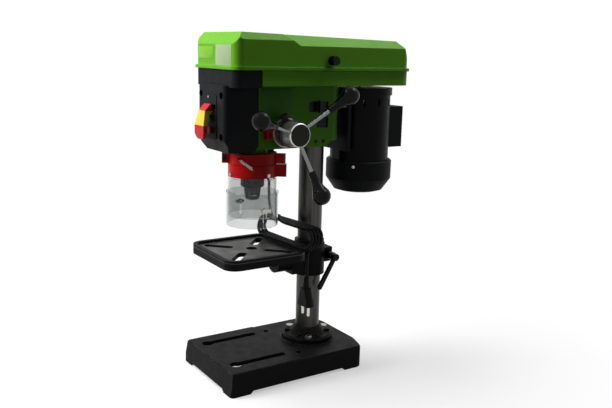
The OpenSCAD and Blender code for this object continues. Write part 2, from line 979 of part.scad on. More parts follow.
module motor_pulley() {
  color([0.66, 0.67, 0.68])
  translate([0, motor_y, 0])
    difference() {
      translate([0, 0, pulley_low])
        stepped_pulley(true);
      cylinder(r = motor_shaft_r, h = 900);
    }
}

// loop round both pulleys at a radial offset
module belt_plan(out) {
  a = step_r(belt_step, false) + out;
  b = step_r(belt_step, true) + out;
  d = motor_y - spindle_y;
  s = (a - b) / d;
  c = sqrt(1 - s * s);
  translate([0, spindle_y])
    circle(a);
  translate([0, motor_y])
    circle(b);
  polygon([[a * c, spindle_y + a * s], [b * c, motor_y + b * s],
    [-b * c, motor_y + b * s], [-a * c, spindle_y + a * s]]);
}

module drive_belt() {
  color([0.03, 0.03, 0.03])
  translate([0, 0, belt_z + 2])
    linear_extrude(step_h - 4)
      difference() {
        belt_plan(1);
        belt_plan(-5.7);
      }
}

// motor

module motor_can() {
  color([0.05, 0.05, 0.055])
  translate([0, motor_y, 0])
    difference() {
      union() {
        translate([0, 0, bell_top])
          cylinder(r = motor_r, h = motor_top - bell_top);
        translate([0, 0, motor_top - 14])
          cylinder(r = motor_r + 3, h = 14);
      }
      translate([0, 0, bell_top - 1])
        cylinder(r = motor_r - 3, h = motor_top - bell_top - 3);
      cylinder(r = motor_shaft_r + run_fit, h = 900);
      for (a = [0:30:330])
        rotate([0, 0, a])
          translate([motor_r - 6, -2, motor_top - 34])
            cube([12, 4, 14]);
      // flat for the mounting plate
      translate([-60, -motor_r - 5, bell_top - 1])
        cube([120, 6, 300]);
    }
}

module motor_end_bell() {
  color([0.05, 0.05, 0.055])
  translate([0, motor_y, motor_bottom])
    difference() {
      rotate_extrude()
        polygon([[0, 0], [bell_r - 26, 0], [bell_r - 16, 3], [bell_r, 26], [bell_r, 60],
          [bell_r - 2, 62], [0, 62]]);
      translate([0, 0, 5])
        rotate_extrude()
          polygon([[0, 0], [bell_r - 28, 0], [bell_r - 4, 24], [bell_r - 4, 52],
            [motor_r - 4, 52], [motor_r - 4, 60], [0, 60]]);
      for (a = [0:24:336])
        rotate([0, 0, a])
          translate([bell_r - 46, -2, -1])
            cube([18, 4, 10]);
    }
}

module terminal_box() {
  color([0.06, 0.06, 0.06])
  difference() {
    translate([-24, motor_y + motor_r - 8, head_z - 12])
      cube([48, 38, 80]);
    translate([0, motor_y, 0])
      cylinder(r = motor_r, h = 900);
    translate([-21, motor_y + motor_r + 3, head_z - 9])
      cube([42, 24, 74]);
  }
}

module motor_plate() {
  color([0.08, 0.08, 0.085])
  difference() {
    translate([-46, plate_front, head_z - 12])
      cube([92, plate_back - plate_front, 112]);
    for (x = [-1, 1])
      rod_y([x * bar_x, 0, bar_z], bar_r, 100);
  }
}

module slide_bars() {
  color([0.7, 0.7, 0.72])
  for (x = [-1, 1])
    rod_y([x * bar_x, -34, bar_z], bar_r, plate_back + 34);
}

module tension_screw() {
  color([0.12, 0.12, 0.12])
  {
    rod_x([bar_x + bar_r + body_gap, -18, bar_z], 3, head_w / 2 - 4 - bar_x - bar_r + 1.6);
    rod_x([head_w / 2 - 2.6, -18, bar_z], 7, 6);
    translate([head_w / 2 + 3.39, -18 - 2.5, bar_z - 11])
      cube([5, 5, 22]);
  }
}

module motor_shaft() {
  color([0.7, 0.7, 0.72])
  translate([0, motor_y, 0])
    {
      translate([0, 0, bell_top - 30])
        cylinder(r = motor_shaft_r, h = pulley_top + 4 - bell_top + 30);
      // rotor
      translate([0, 0, bell_top + 20])
        tube(30, motor_shaft_r - 0.5, 60);
    }
}

// quill, spindle and chuck

module quill_sleeve() {
  color([0.6, 0.61, 0.63])
  difference() {
    translate([0, spindle_y, quill_low])
      cylinder(r = quill_r, h = quill_top - quill_low);
    translate([0, spindle_y, quill_low - 1])
      cylinder(r = quill_r - 5, h = quill_top - quill_low + 2);
    // rack teeth
    for (i = [-3:14])
      translate([-12, 0, pinion_z + i * tooth_pitch])
        rotate([90, 0, 90])
          linear_extrude(24)
            polygon([[rack_y + 3, -1.75], [rack_y + 3, 1.75], [rack_y, 1.15],
              [rack_y - 1.7, 0.75], [rack_y - 1.7, -0.75], [rack_y, -1.15]]);
  }
}

module quill_bearings() {
  color([0.5, 0.5, 0.52])
  for (z = [quill_low + 2, quill_top - 13])
    translate([0, spindle_y, z])
      tube(quill_r - 5, spindle_r + run_fit, 11);
}

module spindle_shaft() {
  color([0.7, 0.7, 0.72])
  translate([0, spindle_y, 0])
    {
      translate([0, 0, quill_low - 4])
        cylinder(r = spindle_r, h = quill_top - quill_low + 5);
      translate([0, 0, quill_top])
        cylinder(r = spline_r, h = pulley_top - quill_top);
      translate([0, 0, quill_low - 4])
        cylinder(r = quill_r - 6, h = 3.5);
      translate([0, 0, chuck_top - 18])
        cylinder(r1 = spindle_r - 3, r2 = spindle_r - 2.2, h = 18.1);
    }
}

module jaw_axis(k) {
  translate([0, spindle_y, nose_z])
    rotate([0, 0, 120 * k + 30])
      translate([jaw_tip_r, 0, 0])
        rotate([0, jaw_tilt, 0])
          children();
}

module chuck_body() {
  color([0.16, 0.16, 0.17])
  difference() {
    translate([0, spindle_y, nose_z])
      rotate_extrude()
        polygon([[0, 0], [11, 0], [13, 2], [14.5, 11], [15.5, 22], [chuck_in_r, 23.5],
          [chuck_in_r, 50], [chuck_in_r - 2.6, 50.5], [chuck_in_r - 2.6, chuck_top - nose_z - 2],
          [chuck_in_r - 4, chuck_top - nose_z], [0, chuck_top - nose_z]]);
    translate([0, spindle_y, nose_z - 1])
      cylinder(d = chuck_bore, h = 38);
    translate([0, spindle_y, chuck_top - 18])
      cylinder(r1 = spindle_r - 3, r2 = spindle_r - 2.2, h = 18.1);
    for (k = [0:2]) {
      jaw_axis(k)
        translate([0, 0, -8])
          cylinder(r = jaw_r + run_fit, h = jaw_len + 12);
      // key holes
      translate([0, spindle_y, nose_z + 15])
        rotate([0, 0, 120 * k + 90])
          rotate([0, 90, 0])
            translate([0, 0, 10])
              cylinder(r = 2.6, h = 10);
    }
  }
}

module chuck_sleeve() {
  color([0.14, 0.14, 0.15])
  translate([0, spindle_y, key_z + 0.7])
    difference() {
      rotate_extrude()
        polygon([[chuck_in_r + run_fit, 0], [chuck_r - 1.5, 0], [chuck_r, 1.5],
          [chuck_r, sleeve_h - 2], [chuck_r - 2, sleeve_h], [chuck_in_r - 2.2, sleeve_h],
          [chuck_in_r - 2.2, sleeve_h - 2.8], [chuck_in_r + run_fit, sleeve_h - 2.8]]);
      for (a = [0:15:345])
        rotate([0, 0, a])
          translate([chuck_r + 0.5, 0, 4])
            cylinder(r = 1.1, h = sleeve_h - 9, $fn = 16);
    }
}

module chuck_jaw(k) {
  color([0.55, 0.55, 0.57])
  jaw_axis(k)
    translate([0, 0, 1.2])
      cylinder(r = jaw_r, h = jaw_len);
}

module chuck_jaw_1() {
  chuck_jaw(0);
}

module chuck_jaw_2() {
  chuck_jaw(1);
}

module chuck_jaw_3() {
  chuck_jaw(2);
}

// feed handle

module pinion_shaft() {
  color([0.62, 0.62, 0.64])
  translate([0, pinion_y, pinion_z])
    {
      rod_x([-head_w / 2 - 24, 0, 0], shaft_r, hub_face - 6 + head_w / 2 + 24);
      rotate([90, 0, 90])
        translate([0, 0, -10])
          linear_extrude(20) {
            circle(pitch_r - 1.6);
            for (i = [0:pinion_teeth - 1])
              rotate(180 + 360 * i / pinion_teeth)
                polygon([[pitch_r - 2.2, -1.05], [pitch_r, -0.75], [pitch_r + 1, -0.4],
                  [pitch_r + 1, 0.4], [pitch_r, 0.75], [pitch_r - 2.2, 1.05]]);
          }
    }
}

// place along rod number k, with Z along the rod from the hub axis
module on_rod(k) {
  translate([hub_face - 13, pinion_y, pinion_z])
    rotate([rod_phase - 120 * k, 0, 0])
      rotate([0, 0, -rod_tilt])
        rotate([-90, 0, 0])
          children();
}

module feed_hub() {
  color([0.75, 0.76, 0.78])
  difference() {
    union() {
      translate([hub_face - 26, pinion_y, pinion_z])
        rotate([0, 90, 0])
          rotate_extrude()
            polygon([[0, 0], [hub_d / 2, 0], [hub_d / 2, 24.5], [hub_d / 2 - 1.5, 26], [0, 26]]);
      rod_x([head_w / 2 + 14 + body_gap, pinion_y, pinion_z], 12,
        hub_face - 26 - head_w / 2 - 14 - body_gap + 0.01);
    }
    rod_x([0, pinion_y, pinion_z], shaft_r, hub_face - 6);
    for (k = [0:2])
      on_rod(k)
        translate([0, 0, 12])
          cylinder(d = rod_d, h = 40);
  }
}

module feed_rods() {
  color([0.85, 0.86, 0.88])
  for (k = [0:2])
    on_rod(k)
      translate([0, 0, 12])
        cylinder(d = rod_d, h = rod_len - 14);
}

module feed_knobs() {
  r = knob_d / 2;
  n = rod_d / 2 + 2;
  color([0.04, 0.04, 0.04])
  for (k = [0:2])
    on_rod(k)
      difference() {
        rotate_extrude()
          polygon(concat(
            [[0, rod_len - 44], [n, rod_len - 44], [n + 1.4, rod_len - 42]],
            [for (i = [0:6])
              [n + 1.4 + (r * 0.72 - n - 1.4) * pow(i / 6, 2.2), rod_len - 40 + 4.6 * i]],
            [for (a = [-36:9:90]) [r * cos(a), rod_len + r * sin(a)]]));
        cylinder(d = rod_d, h = rod_len - 2);
      }
}

module depth_collar() {
  color([0.05, 0.05, 0.05])
  difference() {
    rod_x([head_w / 2 + 14 + 2 * body_gap, pinion_y, pinion_z], collar_d / 2,
      hub_face - 26 - head_w / 2 - 14 - 3 * body_gap);
    rod_x([0, pinion_y, pinion_z], 12 + run_fit, 200);
    translate([hub_face - 35, pinion_y, pinion_z])
      rotate([lock_angle, 0, 0])
        cylinder(r = 3 + run_fit, h = 60);
  }
}

module depth_lock_knob() {
  color([0.04, 0.04, 0.04])
  translate([hub_face - 35, pinion_y, pinion_z])
    rotate([lock_angle, 0, 0]) {
      translate([0, 0, 13])
        cylinder(r = 3, h = collar_d / 2 - 10);
      translate([0, 0, collar_d / 2 + body_gap])
        difference() {
          cylinder(r = 6.5, h = 11);
          for (a = [0:45:315])
            rotate([0, 0, a])
              translate([7, 0, -1])
                cylinder(r = 1.2, h = 14, $fn = 16);
        }
    }
}

// chuck guard

module guard_collar() {
  color([0.62, 0.05, 0.05])
  translate([0, spindle_y, 0])
    difference() {
      union() {
        translate([0, 0, guard_top + 0.5])
          cylinder(r = guard_r - 1, h = collar_top - guard_top - 0.5);
        translate([0, 0, guard_top - 10])
          cylinder(r = lip_r, h = 11);
        // clamp ears at the front left
        rotate([0, 0, ear_angle])
          for (s = [-1, 1])
            translate([guard_r - 4, s * 5 - 3, guard_top + 1])
              cube([15, 6, 17]);
        // post of the spring
        rotate([0, 0, spring_from])
          translate([guard_r - 3, 0, guard_top + 13])
            rotate([0, 90, 0])
              cylinder(r = 1.6, h = 14);
      }
      translate([0, 0, guard_top - 20])
        cylinder(r = spigot_r, h = 100);
      translate([0, 0, guard_top - 20])
        cylinder(r = lip_r - 3, h = 32);
      // clamp slit
      rotate([0, 0, ear_angle])
        translate([20, -1, guard_top])
          cube([60, 2, 100]);
      rotate([0, 0, ear_angle])
        translate([guard_r + 6, 0, guard_top + 9.5])
          rotate([90, 0, 0])
            cylinder(r = 2.5, h = 30, center = true);
    }
}

module guard_switch() {
  color([0.06, 0.06, 0.06])
  {
    translate([0, spindle_y, 0])
      rotate([0, 0, 52])
        difference() {
          translate([guard_r - 3, -6, guard_top + 2])
            cube([18, 12, 17]);
          cylinder(r = guard_r - 1, h = 900);
        }
  }
}

module guard_ring() {
  color([0.66, 0.05, 0.05])
  translate([0, spindle_y, 0])
    difference() {
      union() {
        translate([0, 0, guard_low])
          cylinder(r = guard_r, h = guard_h);
        rotate([0, 0, 57])
          translate([guard_r - 4, -8, guard_low])
            cube([21, 16, guard_h - 0.5]);
        rotate([0, 0, spring_to])
          translate([guard_r - 2, 0, guard_top - 6])
            rotate([0, 90, 0])
              cylinder(r = 1.6, h = 13);
      }
      translate([0, 0, guard_low - 1])
        cylinder(r = lip_r + run_fit, h = guard_h + 2);
      for (a = [-90, 10, 190])
        rotate([0, 0, a])
          translate([lip_r - 4, 0, guard_low + 5])
            rotate([0, 90, 0])
              cylinder(r = 1.8, h = 20);
    }
}

module guard_screws() {
  color([0.6, 0.6, 0.62])
  translate([0, spindle_y, 0]) {
    for (a = [-90, 10, 190])
      rotate([0, 0, a])
        translate([lip_r - 2.2, 0, guard_low + 5])
          rotate([0, 90, 0]) {
            cylinder(r = 1.8, h = guard_r - lip_r + 2.2);
            translate([0, 0, guard_r - lip_r + 2.2])
              cylinder(r = 3.4, h = 2);
          }
    // wing screws of the lower shield
    for (a = [0, 180])
      rotate([0, 0, a])
        translate([upper_r - shield_wall, 0, screw_z])
          rotate([0, 90, 0]) {
            cylinder(r = 2.4, h = lower_r - upper_r + shield_wall + 1);
            translate([0, 0, lower_r - upper_r + shield_wall + body_gap])
              cylinder(r = 5, h = 3);
            translate([-2.5, -9, lower_r - upper_r + shield_wall + body_gap + 2])
              cube([5, 18, 4]);
          }
  }
}

module upper_shield() {
  color([0.8, 0.84, 0.86])
  translate([0, spindle_y, 0])
    difference() {
      union() {
        translate([0, 0, upper_low])
          tube(upper_r, upper_r - shield_wall, guard_low - upper_low);
        translate([0, 0, guard_low - 3])
          tube(lip_r, lip_r - 2, 13.5);
        translate([0, 0, guard_low - 3])
          tube(upper_r, lip_r - 2, 3);
      }
      for (a = [0, 180])
        rotate([0, 0, a])
          translate([upper_r - 6, 0, screw_z])
            rotate([0, 90, 0])
              cylinder(r = 2.4, h = 20);
      for (a = [-90, 10, 190])
        rotate([0, 0, a])
          translate([lip_r - 6, 0, guard_low + 5])
            rotate([0, 90, 0])
              cylinder(r = 1.8, h = 20);
    }
}

module lower_shield() {
  color([0.8, 0.84, 0.86])
  translate([0, spindle_y, 0])
    difference() {
      union() {
        translate([0, 0, lower_low])
          tube(lower_r, lower_in_r, shield_h);
        translate([0, 0, lower_top - 2])
          tube(lower_r + 1, lower_in_r, 2);
      }
      for (a = [0, 180])
        rotate([0, 0, a])
          translate([lower_in_r - 3, 0, screw_z - 11])
            rotate([0, 90, 0])
              linear_extrude(12)
                flat_slot(shield_lift + 9, 6);
    }
}

// two ends of the guard spring
function post_at(a, z) = [post_r * cos(a), spindle_y + post_r * sin(a), z];
spring_a = post_at(spring_from, guard_top + 13);
spring_b = post_at(spring_to, guard_top - 6);

// one wire from post to post, curled in the middle
spring_points =
  let (d = unit(spring_b - spring_a), span = norm(spring_b - spring_a),
    s = unit(cross(d, [0, 0, 1])), u = cross(s, d), lead = 4.5, n = spring_curls * 8,
    pitch = (span - 2 * lead) / spring_curls)
  concat([spring_a + d * 2.1 + s * spring_r],
    [for (i = [0:n]) spring_a + d * (lead + pitch * i / 8)
      + spring_r * (cos(45 * i) * s + sin(45 * i) * u)],
    [spring_b - d * 2.1 + s * spring_r]);
spring_rings = len(spring_points) - 1;
spring_gap = min([for (i = [0:spring_rings - 5], k = [i + 5:spring_rings])
  norm(spring_points[i] - spring_points[k])]) - 2 * spring_wire;

module guard_spring() {
  echo(spring_least_gap = spring_gap);
  color([0.75, 0.75, 0.77])
  swept_tube(spring_points, spring_wire, 6, unit(spring_b - spring_a));
}

// table

module column_collar() {
  color([0.5, 0.5, 0.52])
  translate([0, 0, bracket_top + body_gap])
    tube(column_r + 5.5, column_r + run_fit, 6.5);
}

module table_bracket() {
  color([0.06, 0.06, 0.065])
  difference() {
    union() {
      translate([0, 0, bracket_low])
        cylinder(r = bracket_r, h = bracket_h);
      translate([-20, arm_face, bracket_low + 6])
        cube([40, -arm_face, 46]);
      rod_y([0, arm_face, tilt_z], tilt_r, 14);
      // clamp ears behind the column
      translate([-14, column_r - 4, lock_z - 14])
        cube([28, 26, 28]);
    }
    translate([0, 0, bracket_low - 1])
      cylinder(r = column_r + run_fit, h = bracket_h + 2);
    translate([-1.5, column_r - 8, bracket_low - 1])
      cube([3, 60, bracket_h + 2]);
    rod_x([-30, ear_y, lock_z], stud_r + run_fit, 60);
    rod_y([0, arm_face - 1, tilt_z], tilt_bolt_r, -arm_face - column_r - 1);
  }
}

module tilt_bolt() {
  color([0.3, 0.3, 0.31])
  {
    rod_y([0, arm_face - 30 - 9, tilt_z], tilt_bolt_r, 39 + 16);
    translate([0, arm_face - 30 - 9, tilt_z])
      rotate([-90, 0, 0])
        cylinder(r = 11, h = 8, $fn = 6);
  }
}

module table_lock_lever() {
  x0 = -14 - body_gap;
  x1 = 14 + body_gap;
  x2 = lever_x - 5;
  color([0.05, 0.05, 0.05])
  translate([0, ear_y, lock_z]) {
    rotate([0, 90, 0])
      rotate_extrude()
        polygon([[0, x0 - 5], [8, x0 - 5], [8, x0], [stud_r, x0], [stud_r, x1], [8, x1],
          [8, x2], [7, x2 + 1], [7, x2 + 10], [0, x2 + 10]]);
    rotate([-lever_lean, 0, 0])
      translate([lever_x, 0, -lever_len])
        rotate_extrude()
          polygon(concat([for (a = [-90:10:0]) [5 * cos(a), 5 * sin(a)]],
            [[4.5, lever_len], [0, lever_len]]));
  }
}

module table_top() {
  color([0.07, 0.07, 0.075])
  difference() {
    union() {
      translate([0, table_y, table_z - table_skirt])
        linear_extrude(table_skirt)
          round_rect(table_size, table_size, table_corner);
      // boss of the tilting axis
      rod_y([0, boss_face - 30, tilt_z], tilt_r, 30);
      translate([-tilt_r, boss_face - 30, tilt_z])
        cube([2 * tilt_r, 30 - 2 - 8, table_z - table_sink - 8 - tilt_z]);
    }
    translate([0, table_y, table_z - table_sink])
      linear_extrude(table_sink + 1)
        round_rect(table_size - 2 * table_rim, table_size - 2 * table_rim, table_corner - table_rim);
    difference() {
      translate([0, table_y, table_z - table_skirt - 1])
        linear_extrude(table_skirt - table_sink - 7)
          round_rect(table_size - 12, table_size - 12, table_corner - 6);
      rod_y([0, boss_face - 30, tilt_z], tilt_r, 30);
      translate([-tilt_r, boss_face - 30, tilt_z])
        cube([2 * tilt_r, 30, 40]);
    }
    translate([0, spindle_y, table_z - 60])
      cylinder(d = table_hole_d, h = 80);
    for (a = [45:90:315])
      translate([0, table_y, table_z - 30])
        rotate([0, 0, a])
          translate([57, 0, 0])
            linear_extrude(40)
              flat_slot(56, table_slot_w);
    rod_y([0, boss_face - 60, tilt_z], tilt_bolt_r + run_fit, 100);
    // room for the head of the tilt bolt
    rod_y([0, boss_face - 90, tilt_z], 14, 59.6);
  }
}

// cord

// the coiled cord's turns lie side by side, leaning back by hank_lean degrees
hank_turns = 3.375;
hank_bend = 18;
hank_half = 86;
hank_step = 7.4;
hank_lean = 13;
hank_mid = [5, -52, table_z + cord_d / 2 + 0.2 + hank_bend * cos(hank_lean)];
hank_long = unit([100, 8, 0]);
hank_side = unit([-8, 100, 0]);
hank_up = cos(hank_lean) * [0, 0, 1] + sin(hank_lean) * hank_side;

// one loop in the flat, over the top to the right and back along the bottom
function hank_loop(w) =
  let (r = hank_bend, s = hank_half - r, q = floor(w * 4), t = w * 4 - q)
  q == 0 ? [-s + 2 * s * t, r] :
  q == 1 ? [s + r * sin(180 * t), r * cos(180 * t)] :
  q == 2 ? [s - 2 * s * t, -r] :
  [-s - r * sin(180 * t), -r * cos(180 * t)];

function hank_at(u) =
  let (f = hank_loop(u - floor(u)), c = u - hank_from - hank_turns / 2)
  hank_mid + hank_long * f[0] + hank_up * f[1] + hank_side * hank_step * c;

hank_from = 0.125;
hank_rings = round(hank_turns * 24);
hank_points = [for (i = [0:hank_rings]) hank_at(hank_from + i / 24)];
hank_gap = min([for (i = [0:hank_rings - 13], k = [i + 12:hank_rings])
  norm(hank_points[i] - hank_points[k])]) - cord_d;
hank_end = hank_points[hank_rings];
hank_start_way = unit(hank_points[1] - hank_points[0]);
hank_end_way = unit(hank_end - hank_points[hank_rings - 1]);

gland_at = [-30, -72, head_z];
// the lead leaves the gland straight down and turns into the coil's top run
lead_from = gland_at - [0, 0, 44];
lead_to = hank_points[0] - body_gap * hank_start_way;
function lead_at(t) =
  pow(1 - t, 3) * lead_from + 3 * pow(1 - t, 2) * t * (lead_from - [0, 0, 32])
  + 3 * (1 - t) * t * t * (lead_to - 68 * hank_start_way) + pow(t, 3) * lead_to;
lead_route = concat([gland_at + [0, 0, 8], gland_at - [0, 0, 22]],
  [for (i = [0:7]) lead_at(i / 7)]);

// the tail bends down off the end of the coil, and the plug hangs below it
tail_bend = 25;
tail_tilt = -asin(hank_end_way[2]);
tail_flat = unit([hank_end_way[0], hank_end_way[1], 0]);
plug_at = [hank_end[0], hank_end[1], 127] + tail_bend * (1 - sin(tail_tilt)) * tail_flat;
tail_route = concat([hank_end + body_gap * hank_end_way],
  [for (i = [1:5], a = tail_tilt + (90 - tail_tilt) * i / 5)
    hank_end + tail_bend * ((sin(a) - sin(tail_tilt)) * tail_flat
      + [0, 0, cos(a) - cos(tail_tilt)])],
  [for (z = [84:-8:52]) plug_at + [0, 0, z]]);

module cord_gland() {
  color([0.04, 0.04, 0.04])
  translate(gland_at)
    rotate([180, 0, 0])
      difference() {
        union() {
          cylinder(r = 8, h = 6);
          translate([0, 0, 5.99])
            cylinder(r1 = 6.5, r2 = 4.6, h = 32);
          translate([0, 0, -10])
            cylinder(r = 5, h = 10.01);
        }
        translate([0, 0, -11])
          cylinder(d = cord_d, h = 60);
      }
}

module cord_lead() {
  color([0.03, 0.03, 0.03])
  swept_tube(curve(lead_route, 2), cord_d / 2, 10, [0, 1, 0]);
}

module cord_hank() {
  echo(hank_least_gap = hank_gap);
  color([0.03, 0.03, 0.03])
  swept_tube(hank_points, cord_d / 2, 6, hank_side);
}

module cord_tail() {
  color([0.03, 0.03, 0.03])
  swept_tube(curve(tail_route, 2), cord_d / 2, 10, [0, 1, 0]);
}

module plug_body() {
  color([0.03, 0.03, 0.03])
  translate(plug_at)
    difference() {
      union() {
        // grip, flattened front and back
        intersection() {
          rotate_extrude()
            polygon([[0, 0], [17, 0], [17.5, 2], [15, 12], [12, 24], [9.5, 34], [0, 34]]);
          translate([-30, -8, -1])
            cube([60, 16, 60]);
        }
        translate([0, 0, 33.9])
          cylinder(r1 = 7, r2 = 4.6, h = 20);
      }
      translate([0, 0, 30])
        cylinder(d = cord_d, h = 40);
      for (s = [-1, 1])
        translate([s * 9.5, 0, -1])
          cylinder(r = 2.4, h = 9);
    }
}

module plug_pins() {
  color([0.8, 0.75, 0.5])
  for (s = [-1, 1])
    translate(plug_at + [s * 9.5, 0, -19])
      rotate_extrude()
        polygon([[0, 0], [1.6, 0], [2.4, 1], [2.4, 27], [0, 27]]);
}

base_casting();
column_flange();
flange_bolts();
column_tube();
head_casting();
socket_screws();
belt_tray();
front_housing();
switch_body();
depth_pointer();
feed_ring();
return_spring_cup();
return_spring();
drive_belt();
cord_gland();
cord_lead();
guard_collar();
guard_switch();
guard_spring();
belt_cover();
cover_knob();
motor_can();
motor_end_bell();
terminal_box();
motor_plate();
slide_bars();
tension_screw();
motor_shaft();
motor_pulley();
spindle_pulley();
quill_sleeve();
quill_bearings();
spindle_shaft();
chuck_body();
chuck_sleeve();
chuck_jaw_1();
chuck_jaw_2();
chuck_jaw_3();
pinion_shaft();
feed_hub();
feed_rods();
feed_knobs();
depth_collar();
depth_lock_knob();
guard_ring();
guard_screws();
upper_shield();
lower_shield();
switch_flap();
start_button();
stop_button();
column_collar();
table_bracket();
tilt_bolt();
table_lock_lever();
table_top();
cord_hank();
cord_tail();
plug_body();
plug_pins();
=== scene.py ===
"""Looks of the benchtop drill press, in metres: camera, cords, finishes, small parts and light."""
import json
import math

import bmesh
import bpy
from mathutils import Matrix, Vector


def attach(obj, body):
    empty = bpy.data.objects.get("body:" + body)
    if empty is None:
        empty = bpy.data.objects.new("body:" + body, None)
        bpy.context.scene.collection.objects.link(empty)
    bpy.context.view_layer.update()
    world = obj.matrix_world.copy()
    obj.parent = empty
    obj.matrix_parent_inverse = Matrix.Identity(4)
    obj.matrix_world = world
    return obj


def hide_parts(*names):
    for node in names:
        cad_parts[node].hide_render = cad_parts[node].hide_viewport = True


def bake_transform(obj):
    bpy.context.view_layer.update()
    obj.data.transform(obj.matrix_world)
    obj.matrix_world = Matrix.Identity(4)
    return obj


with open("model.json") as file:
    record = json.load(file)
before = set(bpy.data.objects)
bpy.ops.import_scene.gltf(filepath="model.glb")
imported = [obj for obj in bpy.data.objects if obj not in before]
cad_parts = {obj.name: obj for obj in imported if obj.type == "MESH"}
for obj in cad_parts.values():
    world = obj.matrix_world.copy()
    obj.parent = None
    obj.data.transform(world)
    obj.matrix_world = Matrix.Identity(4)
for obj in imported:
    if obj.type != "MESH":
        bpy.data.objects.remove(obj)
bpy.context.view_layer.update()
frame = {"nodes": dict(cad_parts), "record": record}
NODES = frame["nodes"]
MM = 0.001
Z = Vector((0, 0, 1))

# Axes of the solids, in millimetres
SPINDLE_Y = -127.0
FEED_Y, FEED_Z = -93.5, 453.6


def vec(x, y, z):
    """Point given in millimetres."""
    return Vector((x, y, z)) * MM


# Camera, solved on the edges that the photograph shows

IMAGE_WIDTH = 612
FOCAL_PIXELS = 751.56
SENSOR = 36.0
CLIP_START = 0.01
AZIMUTH, ELEVATION, ROLL = (math.radians(v) for v in (56.55, 11.57, 1.44))
AXIS_POINT = vec(396.2, -271.33, 405.56)
AXIS_DISTANCE = 0.94957


def make_camera():
    back = Vector((math.sin(AZIMUTH) * math.cos(ELEVATION),
                   -math.cos(AZIMUTH) * math.cos(ELEVATION), math.sin(ELEVATION)))
    level = Vector((math.cos(AZIMUTH), math.sin(AZIMUTH), 0))
    rise = back.cross(level)
    right = math.cos(ROLL) * level + math.sin(ROLL) * rise
    up = math.cos(ROLL) * rise - math.sin(ROLL) * level
    data = bpy.data.cameras.new("photo_camera")
    data.sensor_width = SENSOR
    data.lens = SENSOR * FOCAL_PIXELS / IMAGE_WIDTH
    data.clip_start = CLIP_START
    camera = bpy.data.objects.new("photo_camera", data)
    place = Matrix((right, up, back)).transposed().to_4x4()
    place.translation = AXIS_POINT + AXIS_DISTANCE * back
    camera.matrix_world = place
    bpy.context.scene.collection.objects.link(camera)
    bpy.context.scene.camera = camera


make_camera()


# Mesh helpers

CORNER_STEPS = 6
PLATE_CORNER = 2.0
PLATE_EDGE = 0.3
SCREW_SIDES = 32


def mesh_object(name, bm):
    mesh = bpy.data.meshes.new(name)
    bmesh.ops.recalc_face_normals(bm, faces=bm.faces)
    bm.to_mesh(mesh)
    bm.free()
    for face in mesh.polygons:
        face.use_smooth = True
    obj = bpy.data.objects.new(name, mesh)
    bpy.context.scene.collection.objects.link(obj)
    return obj


def smooth_by_angle(obj, degrees):
    """Keeps edges sharper than the angle crisp."""
    mesh = obj.data
    bm = bmesh.new()
    bm.from_mesh(mesh)
    limit = math.radians(degrees)
    for edge in bm.edges:
        edge.smooth = edge.is_manifold and edge.calc_face_angle(0) < limit
    bm.to_mesh(mesh)
    bm.free()
    return obj


def ring_angles(sides):
    return [2 * math.pi * k / sides for k in range(sides)]


def bridge(bm, rings):
    """Faces from each ring of points to the next."""
    for low, high in zip(rings, rings[1:]):
        for k in range(len(low)):
            n = (k + 1) % len(low)
            bm.faces.new((low[k], low[n], high[n], high[k]))


def cap(bm, rings):
    """Faces over the first and the last ring."""
    bm.faces.new(rings[0][::-1])
    bm.faces.new(rings[-1])


def tube(name, line, radius, sides=14, capped=True):
    """Round tube along a line."""
    bm = bmesh.new()
    rings = []
    side = None
    for i, point in enumerate(line):
        way = (line[min(i + 1, len(line) - 1)] - line[max(i - 1, 0)]).normalized()
        if side is None:
            side = way.orthogonal().normalized()
        side = (side - way * side.dot(way)).normalized()
        other = way.cross(side)
        rings.append([bm.verts.new(point + radius * (math.cos(a) * side + math.sin(a) * other))
                      for a in ring_angles(sides)])
    bridge(bm, rings)
    if capped:
        cap(bm, rings)
    return mesh_object(name, bm)


def basis(origin, axis, across=None):
    """Matrix whose Z runs along axis and whose X lies as near to across as it can."""
    z = Vector(axis).normalized()
    x = Vector(across) if across is not None else z.orthogonal()
    x = (x - z * x.dot(z)).normalized()
    made = Matrix((x, z.cross(x), z)).transposed().to_4x4()
    made.translation = origin
    return made


def rounded_outline(width, height, radius):
    points = []
    for cx, cy, start in ((1, 1, 0), (-1, 1, 90), (-1, -1, 180), (1, -1, 270)):
        for k in range(CORNER_STEPS + 1):
            a = math.radians(start + 90 * k / CORNER_STEPS)
            points.append((cx * (width / 2 - radius) + radius * math.cos(a),
                           cy * (height / 2 - radius) + radius * math.sin(a)))
    return points


def plate(name, width, height, thick, place):
    """Thin rounded plate on the place's XY plane, with an eased upper edge, in millimetres."""
    bm = bmesh.new()
    edge = PLATE_EDGE
    layers = [(0, 0), (0, thick - edge), (edge * 0.3, thick - edge * 0.3), (edge, thick)]
    rings = []
    for inset, h in layers:
        outline = rounded_outline(width - 2 * inset, height - 2 * inset, PLATE_CORNER - inset)
        rings.append([bm.verts.new(place @ vec(x, y, h)) for x, y in outline])
    bridge(bm, rings)
    cap(bm, rings)
    return smooth_by_angle(mesh_object(name, bm), 50)


